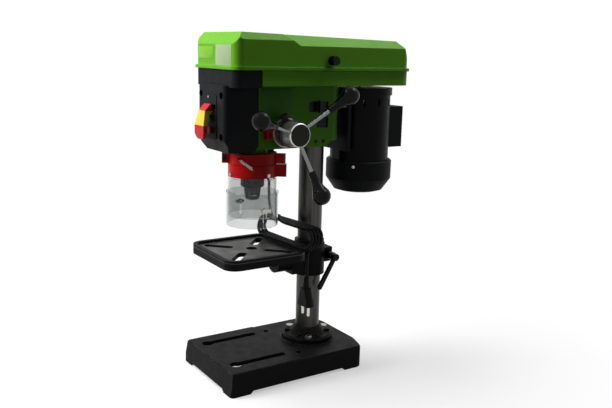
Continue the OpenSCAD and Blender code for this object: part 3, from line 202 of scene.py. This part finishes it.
def cross_screw(name, place, radius, height):
    """Pan head screw with a cross recess, on the place's XY plane, in millimetres."""
    bm = bmesh.new()

    def point(r, a, h):
        return bm.verts.new(place @ vec(r * math.cos(a), r * math.sin(a), h))

    # shares of the radius and the height, from the seat to the crown
    profile = ((1.0, 0), (1.0, 0.35), (0.93, 0.7), (0.72, 0.93), (0.45, 1.0))
    turn = ring_angles(SCREW_SIDES)
    rings = [[point(radius * r, a, height * h) for a in turn] for r, h in profile]
    recess = []
    for a in turn:
        arm = abs(math.cos(2 * a)) ** 6
        r = radius * (0.13 + 0.3 * arm)
        recess.append((point(r, a, height), point(r * 0.5, a, height * 0.3)))
    rings += [[mouth for mouth, floor in recess], [floor for mouth, floor in recess]]
    bridge(bm, rings)
    cap(bm, rings)
    return smooth_by_angle(mesh_object(name, bm), 40)


# Cords: close to the routes of the solids that they replace, measured in millimetres

CORD_D = 6.2
TABLE_RIM = 240.0

HANK_FROM = 0.125
HANK_TURNS = 3.375
HANK_BEND = 18.0
HANK_HALF = 86.0
HANK_STEP = 7.4
HANK_POINTS = 72
HANK_CLEAR = 0.2
HANK_LEAN = math.radians(13)
HANK_MID = Vector((5, -52, TABLE_RIM + CORD_D / 2 + HANK_CLEAR + HANK_BEND * math.cos(HANK_LEAN)))
HANK_LONG = Vector((100, 8, 0)).normalized()
HANK_SIDE = Vector((-8, 100, 0)).normalized()
HANK_UP = math.cos(HANK_LEAN) * Z + math.sin(HANK_LEAN) * HANK_SIDE
SLACK_HEIGHT = 0.3
SLACK_WAVES = 9

GLAND = Vector((-30, -72, 424))
LEAD_INSIDE = (36, 38, 40, 42)
LEAD_FROM = GLAND - 44 * Z
LEAD_FALL = 32
LEAD_RUN_IN = 68
LEAD_TO_COLUMN = Vector((0, 9, 0))
LEAD_STEPS = 44
LEAD_SHARES = (0.28, 0.56)
LEAD_BODIES = (("frame", "collar"), ("collar", "bracket"), ("bracket", "table"))

PLUG_Z = 127
TAIL_BEND = 25.0
TAIL_TILT = math.radians(14.63)
TAIL_STEPS = 15
TAIL_STRAIGHT = range(88, 51, -4)

TIE_ALONG = -52
TIE_ACROSS = -2.5
TIE_SIDES = 40
TIE_ROWS = ((-4.0, 0.5), (-3.6, 0.9), (3.6, 0.9), (4.0, 0.5))
TIE_LOOP = (1, 3, 5, 7, 6, 4, 2, 0, 1)


def hank_loop(w):
    """Point of one turn of the coil, along and up from its middle."""
    r, s = HANK_BEND, HANK_HALF - HANK_BEND
    quarter = math.floor(w * 4)
    t = w * 4 - quarter
    if quarter == 0:
        return -s + 2 * s * t, r
    if quarter == 1:
        return s + r * math.sin(math.pi * t), r * math.cos(math.pi * t)
    if quarter == 2:
        return s - 2 * s * t, -r
    return -s - r * math.sin(math.pi * t), -r * math.cos(math.pi * t)


def hank_at(u):
    along, up = hank_loop(u - math.floor(u))
    c = u - HANK_FROM - HANK_TURNS / 2
    return HANK_MID + HANK_LONG * along + HANK_UP * up + HANK_SIDE * HANK_STEP * c


def hank_route():
    """The coil, with the small unevenness of a real cord that fades out at both ends."""
    count = round(HANK_TURNS * HANK_POINTS)
    line = []
    for i in range(count + 1):
        t = i / count
        fade = min(1, 8 * t, 8 * (1 - t))
        sway = math.sin(SLACK_WAVES * t * 2 * math.pi) * HANK_SIDE
        lift = math.cos(SLACK_WAVES * t * 3.7 * math.pi + 1.0) * HANK_UP * 0.6
        line.append(hank_at(HANK_FROM + i / HANK_POINTS) + fade * SLACK_HEIGHT * (sway + lift))
    return line


def bezier(a, b, c, d, steps):
    line = []
    for k in range(steps + 1):
        t = k / steps
        s = 1 - t
        line.append(s ** 3 * a + 3 * s ** 2 * t * b + 3 * s * t * t * c + t ** 3 * d)
    return line


def lead_route(start, start_way):
    """From the gland to the coil, near the column and clear of the guard when the table swivels."""
    line = [GLAND - h * Z for h in LEAD_INSIDE]
    run_in = start - LEAD_RUN_IN * start_way + LEAD_TO_COLUMN
    return line + bezier(LEAD_FROM, LEAD_FROM - LEAD_FALL * Z, run_in, start, LEAD_STEPS)


def lead_cuts(line):
    """Points of the lead where one piece ends and the next begins."""
    lengths = [0.0]
    for a, b in zip(line, line[1:]):
        lengths.append(lengths[-1] + (b - a).length)
    cuts = [min(range(len(lengths)), key=lambda i: abs(lengths[i] - share * lengths[-1]))
            for share in LEAD_SHARES]
    return [0, *cuts, len(lengths) - 1]


def tail_route(end):
    """From the coil's end round a bend and down into the plug."""
    flat = -HANK_LONG
    plug = Vector((end.x, end.y, PLUG_Z)) + TAIL_BEND * (1 - math.sin(TAIL_TILT)) * flat
    line = [end.copy()]
    for i in range(1, TAIL_STEPS + 1):
        a = TAIL_TILT + (math.pi / 2 - TAIL_TILT) * i / TAIL_STEPS
        line.append(end + TAIL_BEND * ((math.sin(a) - math.sin(TAIL_TILT)) * flat
                                       + (math.cos(a) - math.cos(TAIL_TILT)) * Z))
    return line + [plug + h * Z for h in TAIL_STRAIGHT]


def metres(line):
    return [p * MM for p in line]


def make_cords():
    coil = hank_route()
    hank_line = metres(coil)
    hank = tube("cord_hank_turns", hank_line, CORD_D / 2 * MM)
    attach(hank, "table")
    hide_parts("cord_hank")

    lead_line = metres(lead_route(coil[0], (coil[1] - coil[0]).normalized()))
    cuts = lead_cuts(lead_line)
    leads = []
    for k, (low, high) in enumerate(LEAD_BODIES):
        line = lead_line[cuts[k]:cuts[k + 1] + 1]
        piece = tube(f"cord_lead_{k + 1}", line, CORD_D / 2 * MM, capped=False)
        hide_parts("cord_lead")
        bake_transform(piece)
        leads.append((piece, line))

    tail_line = metres(tail_route(coil[-1]))
    tail = tube("cord_tail_run", tail_line, CORD_D / 2 * MM)
    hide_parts("cord_tail")
    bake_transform(tail)

    return [hank, tail] + [piece for piece, line in leads]


def make_tie():
    """Flat strap round the upper runs of the coil."""
    middle = HANK_MID + HANK_LONG * TIE_ALONG + HANK_UP * HANK_BEND
    wide, thick = HANK_STEP * 1.5 + CORD_D / 2 + 1.2, CORD_D / 2 + 0.9
    bm = bmesh.new()
    rings = []
    for along, height in TIE_ROWS:
        for out in (0.0, height):
            ring = []
            for a in ring_angles(TIE_SIDES):
                c, s = math.cos(a), math.sin(a)
                x = math.copysign(abs(c) ** 0.45, c) * (wide + out)
                y = math.copysign(abs(s) ** 0.7, s) * (thick + out)
                p = middle + HANK_LONG * along + HANK_SIDE * (x + TIE_ACROSS) + HANK_UP * y
                ring.append(bm.verts.new(p * MM))
            rings.append(ring)
    bridge(bm, [rings[i] for i in TIE_LOOP])
    strap = smooth_by_angle(mesh_object("cord_tie", bm), 50)
    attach(strap, "table")
    return strap


CORDS = make_cords()
TIE = make_tie()


# Finishes

BEVEL_SAMPLES = 4
NOISE_LOW, NOISE_HIGH = 0.3, 0.7
STEEL_EDGE = 0.0006


def srgb(red, green, blue):
    """Linear colour of an sRGB one given in 0 to 255."""
    def line(v):
        v /= 255
        return v / 12.92 if v <= 0.04045 else ((v + 0.055) / 1.055) ** 2.4
    return line(red), line(green), line(blue), 1.0


def grey(value):
    return value, value, value, 1.0


def shade(colour, factor):
    return tuple(min(1.0, c * factor) for c in colour[:3]) + (1.0,)


class Finish:
    """Node material with short calls for the few nodes that the finishes share."""

    def __init__(self, name):
        self.material = bpy.data.materials.new(name)
        self.material.use_nodes = True
        self.tree = self.material.node_tree
        self.shader = self.tree.nodes["Principled BSDF"]
        self.place = self.add("ShaderNodeTexCoord").outputs["Object"]

    def add(self, kind, settings=None, **inputs):
        node = self.tree.nodes.new(kind)
        for key, value in (settings or {}).items():
            setattr(node, key, value)
        for key, value in inputs.items():
            self.set(node.inputs[key.replace("_", " ")], value)
        return node

    def set(self, socket, value):
        if isinstance(value, bpy.types.NodeSocket):
            self.tree.links.new(value, socket)
        else:
            socket.default_value = value

    def math(self, operation, a, b=0.0):
        node = self.add("ShaderNodeMath", {"operation": operation})
        self.set(node.inputs[0], a)
        self.set(node.inputs[1], b)
        return node.outputs[0]

    def span(self, value, low, high, to_low=0.0, to_high=1.0):
        node = self.add("ShaderNodeMapRange")
        for key, v in (("Value", value), ("From Min", low), ("From Max", high),
                       ("To Min", to_low), ("To Max", to_high)):
            self.set(node.inputs[key], v)
        return node.outputs[0]

    def noise(self, scale, detail, stretch=None):
        where = self.place
        if stretch:
            where = self.add("ShaderNodeMapping", Vector=where, Scale=stretch).outputs[0]
        return self.add("ShaderNodeTexNoise", Vector=where, Scale=scale, Detail=detail).outputs[0]

    def cloud(self, scale, detail=4.0, low=0.0, high=1.0):
        """Noise spread over the values from low to high."""
        return self.span(self.noise(scale, detail), NOISE_LOW, NOISE_HIGH, low, high)

    def axes(self):
        split = self.add("ShaderNodeSeparateXYZ", Vector=self.place)
        return split.outputs[0], split.outputs[1], split.outputs[2]

    def about_feed(self):
        """Place along the feed axis, and the distances behind and above it."""
        x, y, z = self.axes()
        return (x, self.math("SUBTRACT", y, FEED_Y * MM), self.math("SUBTRACT", z, FEED_Z * MM))

    def mix(self, share, a, b):
        node = self.add("ShaderNodeMix", {"data_type": "RGBA"})
        self.set(node.inputs[0], share)
        self.set(node.inputs[6], a)
        self.set(node.inputs[7], b)
        return node.outputs[2]

    def mottle(self, share, colour, spread):
        """Colour that runs from a darker to a lighter shade of itself."""
        return self.mix(share, shade(colour, 1 - spread), shade(colour, 1 + spread))

    def blend(self, share, a, b):
        node = self.add("ShaderNodeMix", {"data_type": "FLOAT"})
        self.set(node.inputs[0], share)
        self.set(node.inputs[2], a)
        self.set(node.inputs[3], b)
        return node.outputs[0]

    def between(self, value, low, high, soft=0.0002):
        """1 between two values, 0 outside."""
        return self.math("MULTIPLY", self.span(value, low - soft, low + soft),
                         self.span(value, high + soft, high - soft))

    def eased(self, radius):
        """Normal of the surface with its edges rounded."""
        return self.add("ShaderNodeBevel", {"samples": BEVEL_SAMPLES}, Radius=radius).outputs[0]

    def edge_wear_and_highlight(self, radius, low, high, most=1.0):
        """Broken lighter edges, as wear and as painted edge highlight: up to the given share on
        edges, 0 on open faces.
        """
        dot = self.add("ShaderNodeVectorMath", {"operation": "DOT_PRODUCT"})
        self.set(dot.inputs[0], self.eased(radius))
        self.set(dot.inputs[1], self.add("ShaderNodeNewGeometry").outputs["Normal"])
        edges = self.span(dot.outputs["Value"], 0.995, 0.9)
        return self.math("MULTIPLY", edges, self.span(self.noise(120.0, 4.0), low, high, 0.0, most))

    def relief(self, height, distance, strength, rounding=0.0):
        bump = self.add("ShaderNodeBump", Height=height, Distance=distance, Strength=strength)
        if rounding:
            self.set(bump.inputs["Normal"], self.eased(rounding))
        self.set(self.shader.inputs["Normal"], bump.outputs[0])

    def colour(self, value):
        self.set(self.shader.inputs["Base Color"], value)

    def rough(self, value):
        self.set(self.shader.inputs["Roughness"], value)

    def constant(self, **values):
        for key, value in values.items():
            self.shader.inputs[key.replace("_", " ")].default_value = value


def paint(name, colour, rough, grain, height, spread, rounding, gloss, wear_and_highlight=None, patch=None):
    """Sprayed or moulded surface: uneven colour, fine grain, edges that may be lighter: wear on
    black iron and enamel, a painted highlight on green enamel.
    """
    f = Finish(name)
    tone = f.mottle(f.cloud(14.0), colour, spread)
    if wear_and_highlight:
        tone = f.mix(f.edge_wear_and_highlight(rounding * 1.3, 0.4, 0.65), tone, wear_and_highlight)
    if patch:
        tone = patch(f, tone)
    f.colour(tone)
    f.rough(f.cloud(60.0, low=rough - 0.06, high=rough + 0.06))
    f.relief(f.noise(grain, 2.0), height, 0.6, rounding)
    f.constant(Specular_IOR_Level=gloss)
    return f.material


def steel(name, colour, rough, stretch, spread=0.15, depth=0.00004):
    """Metal with fine tool marks, drawn out by the stretch of the noise."""
    f = Finish(name)
    marks = f.noise(1.0, 3.0, stretch)
    f.colour(f.mottle(f.span(marks, NOISE_LOW, NOISE_HIGH), colour, spread))
    f.rough(f.cloud(40.0, low=rough - 0.05, high=rough + 0.07))
    f.relief(marks, depth, 0.5, STEEL_EDGE)
    f.constant(Metallic=1.0)
    return f.material


GREEN = srgb(101, 168, 34)
# Head green darkened as painted shade, for the shade under the belt tray
SHADED_HEAD_GREEN = srgb(76, 132, 24)
BLACK = srgb(12, 12, 13)
WORN_IRON = srgb(58, 58, 57)
# Black painted inside the head's pockets as shade
POCKET_SHADE_BLACK = srgb(6, 7, 5)

# Places of painted and machined fields on the solids, and of the painted shade in the head's
# pockets, in metres
POCKET_X = (0.0420, 0.0456)
UPPER_POCKET = ((-0.0387, 0.0037), (0.4878, 0.5062))
LOWER_POCKET = ((-0.0222, 0.0037), (0.4588, 0.4782))
TABLE_FACE_Z = (0.2352, 0.2363)
FLAP_FACET_Z = (0.4660, 0.4910)
HUB_FACE_X = (0.1046, 0.1048)
HUB_FACE_R = (0.0192, 0.0188)
SHORT_MARK_X = (0.0655, 0.0695)
TALL_MARK_X = (0.0655, 0.0735)
SHORT_MARKS = 50
TALL_MARKS = 10
HUB_RINGS = 9000.0
GRIP_Z = (0.354, 0.374)
GRIP_FLUTES = 48.0


def painted_pocket_shade(f, tone):
    """Painted shade: black painted inside the two pockets on each side of the head, where shade
    falls.
    """
    x, y, z = f.axes()
    deep = f.between(f.math("ABSOLUTE", x), *POCKET_X)
    upper, lower = (f.math("MULTIPLY", f.between(y, *along), f.between(z, *high))
                    for along, high in (UPPER_POCKET, LOWER_POCKET))
    return f.mix(f.math("MULTIPLY", deep, f.math("MAXIMUM", upper, lower)), tone, POCKET_SHADE_BLACK)


def table_finish():
    """Black cast rim and underside, milled grey top face."""
    f = Finish("table_iron")
    top = f.between(f.axes()[2], *TABLE_FACE_Z)
    marks = f.noise(1.0, 3.0, (60.0, 900.0, 60.0))
    milled = f.mix(f.span(marks, NOISE_LOW, NOISE_HIGH), srgb(58, 58, 57), srgb(82, 82, 80))
    milled = f.mix(f.span(f.noise(22.0, 5.0), 0.45, 0.75), milled, srgb(52, 52, 52))
    cast = f.mottle(f.cloud(14.0), BLACK, 0.2)
    cast = f.mix(f.edge_wear_and_highlight(0.0012, 0.45, 0.7, 0.5), cast, srgb(110, 110, 108))
    f.colour(f.mix(top, cast, milled))
    f.rough(f.blend(top, 0.5, f.cloud(40.0, low=0.34, high=0.5)))
    f.set(f.shader.inputs["Metallic"], f.blend(top, 0.0, 0.85))
    f.relief(f.blend(top, f.noise(420.0, 3.0), marks), 0.00012, 0.5, 0.0016)
    f.constant(Specular_IOR_Level=0.06)
    return f.material


def flap_finish():
    """Red moulded flap with a yellow middle facet."""
    f = Finish("flap_moulding")
    facet = f.between(f.axes()[2], *FLAP_FACET_Z, 0.0003)
    red = f.mix(f.cloud(30.0, 3.0), srgb(176, 14, 18), srgb(196, 24, 26))
    yellow = f.mix(f.cloud(30.0, 3.0), srgb(226, 190, 52), srgb(240, 208, 76))
    f.colour(f.mix(facet, red, yellow))
    f.rough(f.cloud(80.0, 3.0, 0.36, 0.46))
    f.relief(f.noise(1500.0, 2.0), 0.00005, 0.5, 0.0008)
    f.constant(Specular_IOR_Level=0.2)
    return f.material


def hub_finish(name, colour, rough, face=None):
    """Turned steel: fine rings about the feed axis, with a darker end face if one is given."""
    f = Finish(name)
    x, across, high = f.about_feed()
    radius = f.math("SQRT", f.math("ADD", f.math("POWER", across, 2.0), f.math("POWER", high, 2.0)))
    cone = f.math("ADD", radius, f.math("MULTIPLY", x, 0.7))
    rings = f.math("SINE", f.math("MULTIPLY", cone, HUB_RINGS))
    wave = f.math("ADD", f.math("MULTIPLY", rings, 0.25), f.noise(60.0, 4.0))
    tone = f.mix(f.span(wave, 0.2, 0.8), shade(colour, 0.82), shade(colour, 1.15))
    if face:
        end = f.math("MULTIPLY", f.span(x, *HUB_FACE_X), f.span(radius, *HUB_FACE_R))
        tone = f.mix(end, tone, face)
    f.colour(tone)
    f.rough(f.span(wave, 0.2, 0.8, rough - 0.05, rough + 0.08))
    f.relief(wave, 0.00003, 0.5, 0.0008)
    f.constant(Metallic=1.0)
    return f.material


def scale_finish():
    """Black depth ring with fine pale divisions about the feed axis."""
    f = Finish("depth_scale")
    x, across, high = f.about_feed()
    angle = f.math("ADD", f.math("ARCTAN2", high, across), math.pi)
    step, fifth = (f.math("FRACT", f.math("MULTIPLY", angle, count / (2 * math.pi)))
                   for count in (SHORT_MARKS, TALL_MARKS))
    short = f.math("MULTIPLY", f.span(step, 0.16, 0.12), f.between(x, *SHORT_MARK_X))
    tall = f.math("MULTIPLY", f.span(fifth, 0.035, 0.025), f.between(x, *TALL_MARK_X))
    cast = f.mix(f.cloud(20.0), srgb(20, 20, 21), srgb(32, 32, 33))
    f.colour(f.mix(f.math("MAXIMUM", short, tall), cast, srgb(206, 206, 200)))
    f.rough(f.cloud(70.0, 3.0, 0.36, 0.48))
    f.relief(f.noise(900.0, 2.0), 0.00005, 0.5, 0.0008)
    return f.material


def shield_finish():
    """Clear moulded plastic with a faint grey cast and a few scuffs."""
    f = Finish("clear_moulding")
    f.colour(f.mix(f.span(f.noise(30.0, 4.0), 0.35, 0.7), srgb(220, 222, 221), srgb(212, 214, 213)))
    f.rough(f.span(f.noise(90.0, 5.0), 0.4, 0.75, 0.02, 0.14))
    f.relief(f.noise(14.0, 2.0), 0.0003, 0.15)
    f.constant(Transmission_Weight=1.0, IOR=1.25)
    return f.material


def cord_finish():
    """Black rubber with a dull, slightly uneven skin."""
    f = Finish("cord_rubber")
    f.colour(f.mix(f.cloud(40.0), srgb(7, 7, 8), srgb(14, 14, 15)))
    f.rough(f.cloud(120.0, low=0.4, high=0.56))
    f.relief(f.noise(700.0, 3.0), 0.00008, 0.6)
    f.constant(Specular_IOR_Level=0.07)
    return f.material


def knurl_finish():
    """Chuck sleeve: dark steel with a fluted grip band."""
    f = Finish("chuck_sleeve_steel")
    x, y, z = f.axes()
    angle = f.math("ARCTAN2", f.math("SUBTRACT", y, SPINDLE_Y * MM), x)
    flute = f.math("SINE", f.math("MULTIPLY", angle, GRIP_FLUTES))
    grip = f.math("MULTIPLY", flute, f.between(z, *GRIP_Z, 0.0006))
    marks = f.noise(1.0, 3.0, (200.0, 200.0, 2400.0))
    f.colour(f.mix(f.span(marks, NOISE_LOW, NOISE_HIGH), srgb(26, 26, 27), srgb(44, 44, 45)))
    f.rough(f.cloud(60.0, low=0.26, high=0.4))
    height = f.math("ADD", f.math("MULTIPLY", grip, 0.5), f.math("MULTIPLY", marks, 0.08))
    f.relief(height, 0.0006, 0.7, 0.0005)
    f.constant(Metallic=1.0)
    return f.material


FINISH = {
    # Green enamel: the lighter edges are a painted highlight
    "green_paint": paint("green_enamel", GREEN, rough=0.4, grain=700.0, height=0.00006,
                         spread=0.05, rounding=0.002, gloss=0.12, wear_and_highlight=shade(GREEN, 1.5)),
    "black_iron": paint("black_cast_iron", BLACK, rough=0.46, grain=380.0, height=0.00018,
                        spread=0.2, rounding=0.0018, gloss=0.05, wear_and_highlight=WORN_IRON),
    "black_paint": paint("black_enamel", srgb(10, 10, 11), rough=0.36, grain=600.0, height=0.00006,
                         spread=0.15, rounding=0.0015, gloss=0.05, wear_and_highlight=srgb(40, 40, 40)),
    "black_moulding": paint("black_moulding", srgb(31, 32, 34), rough=0.5, grain=1400.0,
                            height=0.00009, spread=0.1, rounding=0.0014, gloss=0.04),
    "black_knob": paint("black_knob_moulding", srgb(7, 7, 8), rough=0.17, grain=900.0,
                        height=0.00002, spread=0.15, rounding=0.001, gloss=0.1),
    "black_rubber": cord_finish(),
    # Ground steel colour set dark: painted shade standing for the dark surroundings that it
    # reflects
    "column_steel": steel("ground_column", srgb(64, 63, 61), 0.38, (420.0, 420.0, 6.0),
                          spread=0.3, depth=0.00001),
    "bright_steel": steel("bright_steel", srgb(170, 171, 172), 0.26, (700.0, 90.0, 90.0)),
    "dark_steel": steel("dark_steel", srgb(70, 71, 73), 0.3, (300.0, 300.0, 1200.0)),
    # Chrome colour set darker than the plating: painted shade standing for the dark surroundings
    # that it reflects
    "bright_chrome": steel("bright_chrome", srgb(112, 114, 116), 0.12, (90.0, 90.0, 90.0),
                           spread=0.04, depth=0.00001),
    "zinc_steel": steel("zinc_steel", srgb(168, 168, 163), 0.3, (260.0, 260.0, 260.0), spread=0.1),
    "cast_aluminium": steel("cast_aluminium", srgb(150, 152, 154), 0.42, (300.0, 300.0, 300.0),
                            spread=0.12, depth=0.0001),
    "red_moulding": paint("red_moulding", srgb(190, 10, 8), rough=0.4, grain=1300.0,
                          height=0.00006, spread=0.08, rounding=0.0012, gloss=0.16),
    "green_button": paint("green_button", srgb(30, 120, 52), rough=0.38, grain=1300.0,
                          height=0.00005, spread=0.08, rounding=0.0008, gloss=0.2),
    "clear_shield": shield_finish(),
    "pin_brass": steel("plated_brass", srgb(208, 206, 198), 0.24, (200.0, 200.0, 900.0)),
}
# Nodes whose look is more than their slot's plain finish
OWN_FINISH = {
    "table_top": table_finish(),
    "switch_flap": flap_finish(),
    "feed_hub": hub_finish("turned_hub", srgb(196, 196, 194), 0.4, srgb(30, 31, 27)),
    "feed_ring": hub_finish("turned_ring", srgb(150, 150, 148), 0.42),
    # Head enamel: green darkened as painted shade, edges lightened to the plain green as a painted
    # highlight, pockets blackened as painted shade
    "head_casting": paint("green_head_enamel", SHADED_HEAD_GREEN, rough=0.4, grain=700.0, height=0.00006,
                          spread=0.05, rounding=0.002, gloss=0.1, wear_and_highlight=GREEN, patch=painted_pocket_shade),
    "socket_screws": paint("blackened_screw", srgb(16, 16, 17), rough=0.4, grain=900.0,
                           height=0.00003, spread=0.15, rounding=0.0004, gloss=0.12),
    "depth_collar": scale_finish(),
    "chuck_sleeve": knurl_finish(),
}


def dress(obj, material):
    obj.data.materials.clear()
    obj.data.materials.append(material)
    return obj


def dress_nodes():
    slot_of = {row["node"]: row["material_slot"] for row in frame["record"]["subparts"]}
    for name, obj in NODES.items():
        dress(obj, OWN_FINISH.get(name) or FINISH[slot_of[name]])


dress_nodes()
for cord in CORDS:
    dress(cord, FINISH["black_rubber"])
dress(TIE, FINISH["black_rubber"])


# Small parts

FACING_FRONT = ((0, -1, 0), (1, 0, 0))
FACING_RIGHT = ((1, 0, 0), (0, 1, 0))
LABEL_THICK = 0.35
BELL_CENTRE = vec(0, 112, 381)
BELL_RADIUS = 64 * MM
BELL_SCREWS = 3
BELL_FIRST = -46
PLATE_SCREW = vec(-8, -211, 513.5)


def label_finish(name, colour, rough, gloss):
    return paint(name, colour, rough, grain=900.0, height=0.00003, spread=0.04,
                 rounding=0.0003, gloss=gloss)


# Blank labels: name, body, finish, centre, facing, width and height in millimetres
LABELS = (
    ("cover_label_pale", "cover", label_finish("blank_label", srgb(158, 180, 136), 0.5, 0.2),
     vec(32.5, -203, 584.5), FACING_FRONT, 57, 35),
    ("cover_label_green", "cover", label_finish("blank_green_label", srgb(122, 186, 50), 0.42, 0.2),
     vec(-33.5, -203, 588), FACING_FRONT, 55, 20),
    # Head label: dark green print, darkened further as painted shade like the head around it
    ("head_blank_label", "frame", label_finish("blank_deep_label", srgb(58, 106, 22), 0.42, 0.1),
     vec(46, -106, 504), FACING_RIGHT, 64, 54),
)


def place_part(obj, body, slot, material=None):
    dress(obj, material or FINISH[slot])
    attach(obj, body)


def make_small_parts():
    for name, body, finish, centre, facing, width, height in LABELS:
        label = plate(name, width, height, LABEL_THICK, basis(centre, *facing))
        place_part(label, body, "green_paint", finish)
    for k in range(BELL_SCREWS):
        turn = math.radians(BELL_FIRST + 360 / BELL_SCREWS * k)
        out = Vector((math.cos(turn), math.sin(turn), 0))
        spot = basis(BELL_CENTRE + out * BELL_RADIUS, out)
        place_part(cross_screw(f"bell_screw_{k + 1}", spot, 3.0, 1.2), "motor", "zinc_steel")
    spot = basis(PLATE_SCREW, (0, -1, 0))
    place_part(cross_screw("switch_plate_screw", spot, 2.2, 0.9), "frame", "zinc_steel")


make_small_parts()


# Guard spring: wound wire between two posts round the spindle, in millimetres

SPRING_POST = 51.2
SPRING_TOP = (-58, 407.5)
SPRING_LOW = (-26, 388.5)
SPRING_WIRE = 0.6
SPRING_SIDES = 8
SPRING_R = 2.6
SPRING_CURLS = 12
SPRING_STEPS = 16
SPRING_HOOK = 2.1
SPRING_STRAIGHT = 4.5


def spring_post(degrees, height):
    turn = math.radians(degrees)
    return Vector((SPRING_POST * math.cos(turn), SPINDLE_Y + SPRING_POST * math.sin(turn), height))


def make_guard_spring():
    top, low = spring_post(*SPRING_TOP), spring_post(*SPRING_LOW)
    way = (low - top).normalized()
    side = way.cross(Z).normalized()
    up = side.cross(way)
    pitch = ((low - top).length - 2 * SPRING_STRAIGHT) / SPRING_CURLS
    line = [top + way * SPRING_HOOK + side * SPRING_R]
    for i in range(SPRING_CURLS * SPRING_STEPS + 1):
        turn = 2 * math.pi * i / SPRING_STEPS
        line.append(top + way * (SPRING_STRAIGHT + pitch * i / SPRING_STEPS)
                    + SPRING_R * (math.cos(turn) * side + math.sin(turn) * up))
    line.append(low - way * SPRING_HOOK + side * SPRING_R)
    spring = tube("guard_spring_wire", metres(line), SPRING_WIRE * MM, SPRING_SIDES)
    dress(spring, FINISH["bright_steel"])
    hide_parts("guard_spring")
    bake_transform(spring)


make_guard_spring()


# Floor, background and light

FLOOR_HALF = 9
FLOOR_PLACE = (0, -0.06, -0.0002)
FLOOR_BOUNCE = grey(0.1)
FLOOR_NEAR, FLOOR_FAR = 0.2, 0.7
FLOOR_GLOW = (0.45, 1.0)
WORLD_LIGHT = 0.05

# Lamps: name, place, aim, size, power, shown in mirrors
LIGHTS = (
    ("key_light", (-0.9, -2.1, 1.3), (0, -0.1, 0.35), 1.2, 50, False),
    ("top_light", (-0.75, -0.5, 2.2), (0, -0.1, 0.2), 1.4, 37, False),
    ("back_light", (0.4, 1.0, 2.2), (0, 0, 0.4), 1.1, 18, True),
    ("high_light", (-0.5, -1.6, 2.2), (0, -0.1, 0.45), 0.5, 7, True),
)


def seen_rays(tree):
    """1 for what the camera, a mirror or a clear piece shows, 0 for light that falls on things."""
    path = tree.nodes.new("ShaderNodeLightPath")
    seen = path.outputs["Is Camera Ray"]
    for kind in ("Is Glossy Ray", "Is Transmission Ray"):
        either = tree.nodes.new("ShaderNodeMath")
        either.operation = "MAXIMUM"
        tree.links.new(seen, either.inputs[0])
        tree.links.new(path.outputs[kind], either.inputs[1])
        seen = either.outputs[0]
    return seen


def make_floor():
    """White floor that keeps the shadow near the object and glows farther out."""
    f = Finish("studio_floor")
    f.tree.nodes.remove(f.shader)
    tone = f.mix(f.noise(3.0, 2.0), grey(0.9), grey(0.94))
    seen = seen_rays(f.tree)
    matt = f.add("ShaderNodeBsdfDiffuse", Color=f.mix(seen, FLOOR_BOUNCE, tone))
    glow = f.add("ShaderNodeEmission", Color=grey(1.0), Strength=1.0)
    far = f.add("ShaderNodeVectorMath", {"operation": "LENGTH"})
    f.set(far.inputs[0], f.place)
    share = f.math("MULTIPLY", seen,
                   f.span(far.outputs["Value"], FLOOR_NEAR, FLOOR_FAR, *FLOOR_GLOW))
    join = f.add("ShaderNodeMixShader")
    for socket, value in zip(join.inputs, (share, matt.outputs[0], glow.outputs[0])):
        f.set(socket, value)
    f.set(f.tree.nodes["Material Output"].inputs["Surface"], join.outputs[0])
    bm = bmesh.new()
    corners = ((-1, -1), (1, -1), (1, 1), (-1, 1))
    bm.faces.new([bm.verts.new((FLOOR_HALF * x, FLOOR_HALF * y, 0)) for x, y in corners])
    floor = mesh_object("studio_floor", bm)
    floor.location = FLOOR_PLACE
    dress(floor, f.material)


def make_world():
    world = bpy.data.worlds.new("studio")
    world.use_nodes = True
    tree = world.node_tree
    back = tree.nodes["Background"]
    strength = tree.nodes.new("ShaderNodeMapRange")
    strength.inputs["To Min"].default_value = WORLD_LIGHT
    strength.inputs["To Max"].default_value = 1.0
    tree.links.new(seen_rays(tree), strength.inputs["Value"])
    tree.links.new(strength.outputs[0], back.inputs["Strength"])
    back.inputs["Color"].default_value = grey(1.0)
    bpy.context.scene.world = world


def make_light(name, spot, aim, size, power, mirrored):
    data = bpy.data.lights.new(name, "AREA")
    data.shape = "DISK"
    data.size = size
    data.energy = power
    lamp = bpy.data.objects.new(name, data)
    lamp.matrix_world = basis(Vector(spot), Vector(spot) - Vector(aim))
    lamp.visible_glossy = mirrored
    bpy.context.scene.collection.objects.link(lamp)


make_floor()
make_world()
for row in LIGHTS:
    make_light(*row)
bpy.context.scene.view_settings.view_transform = "Standard"
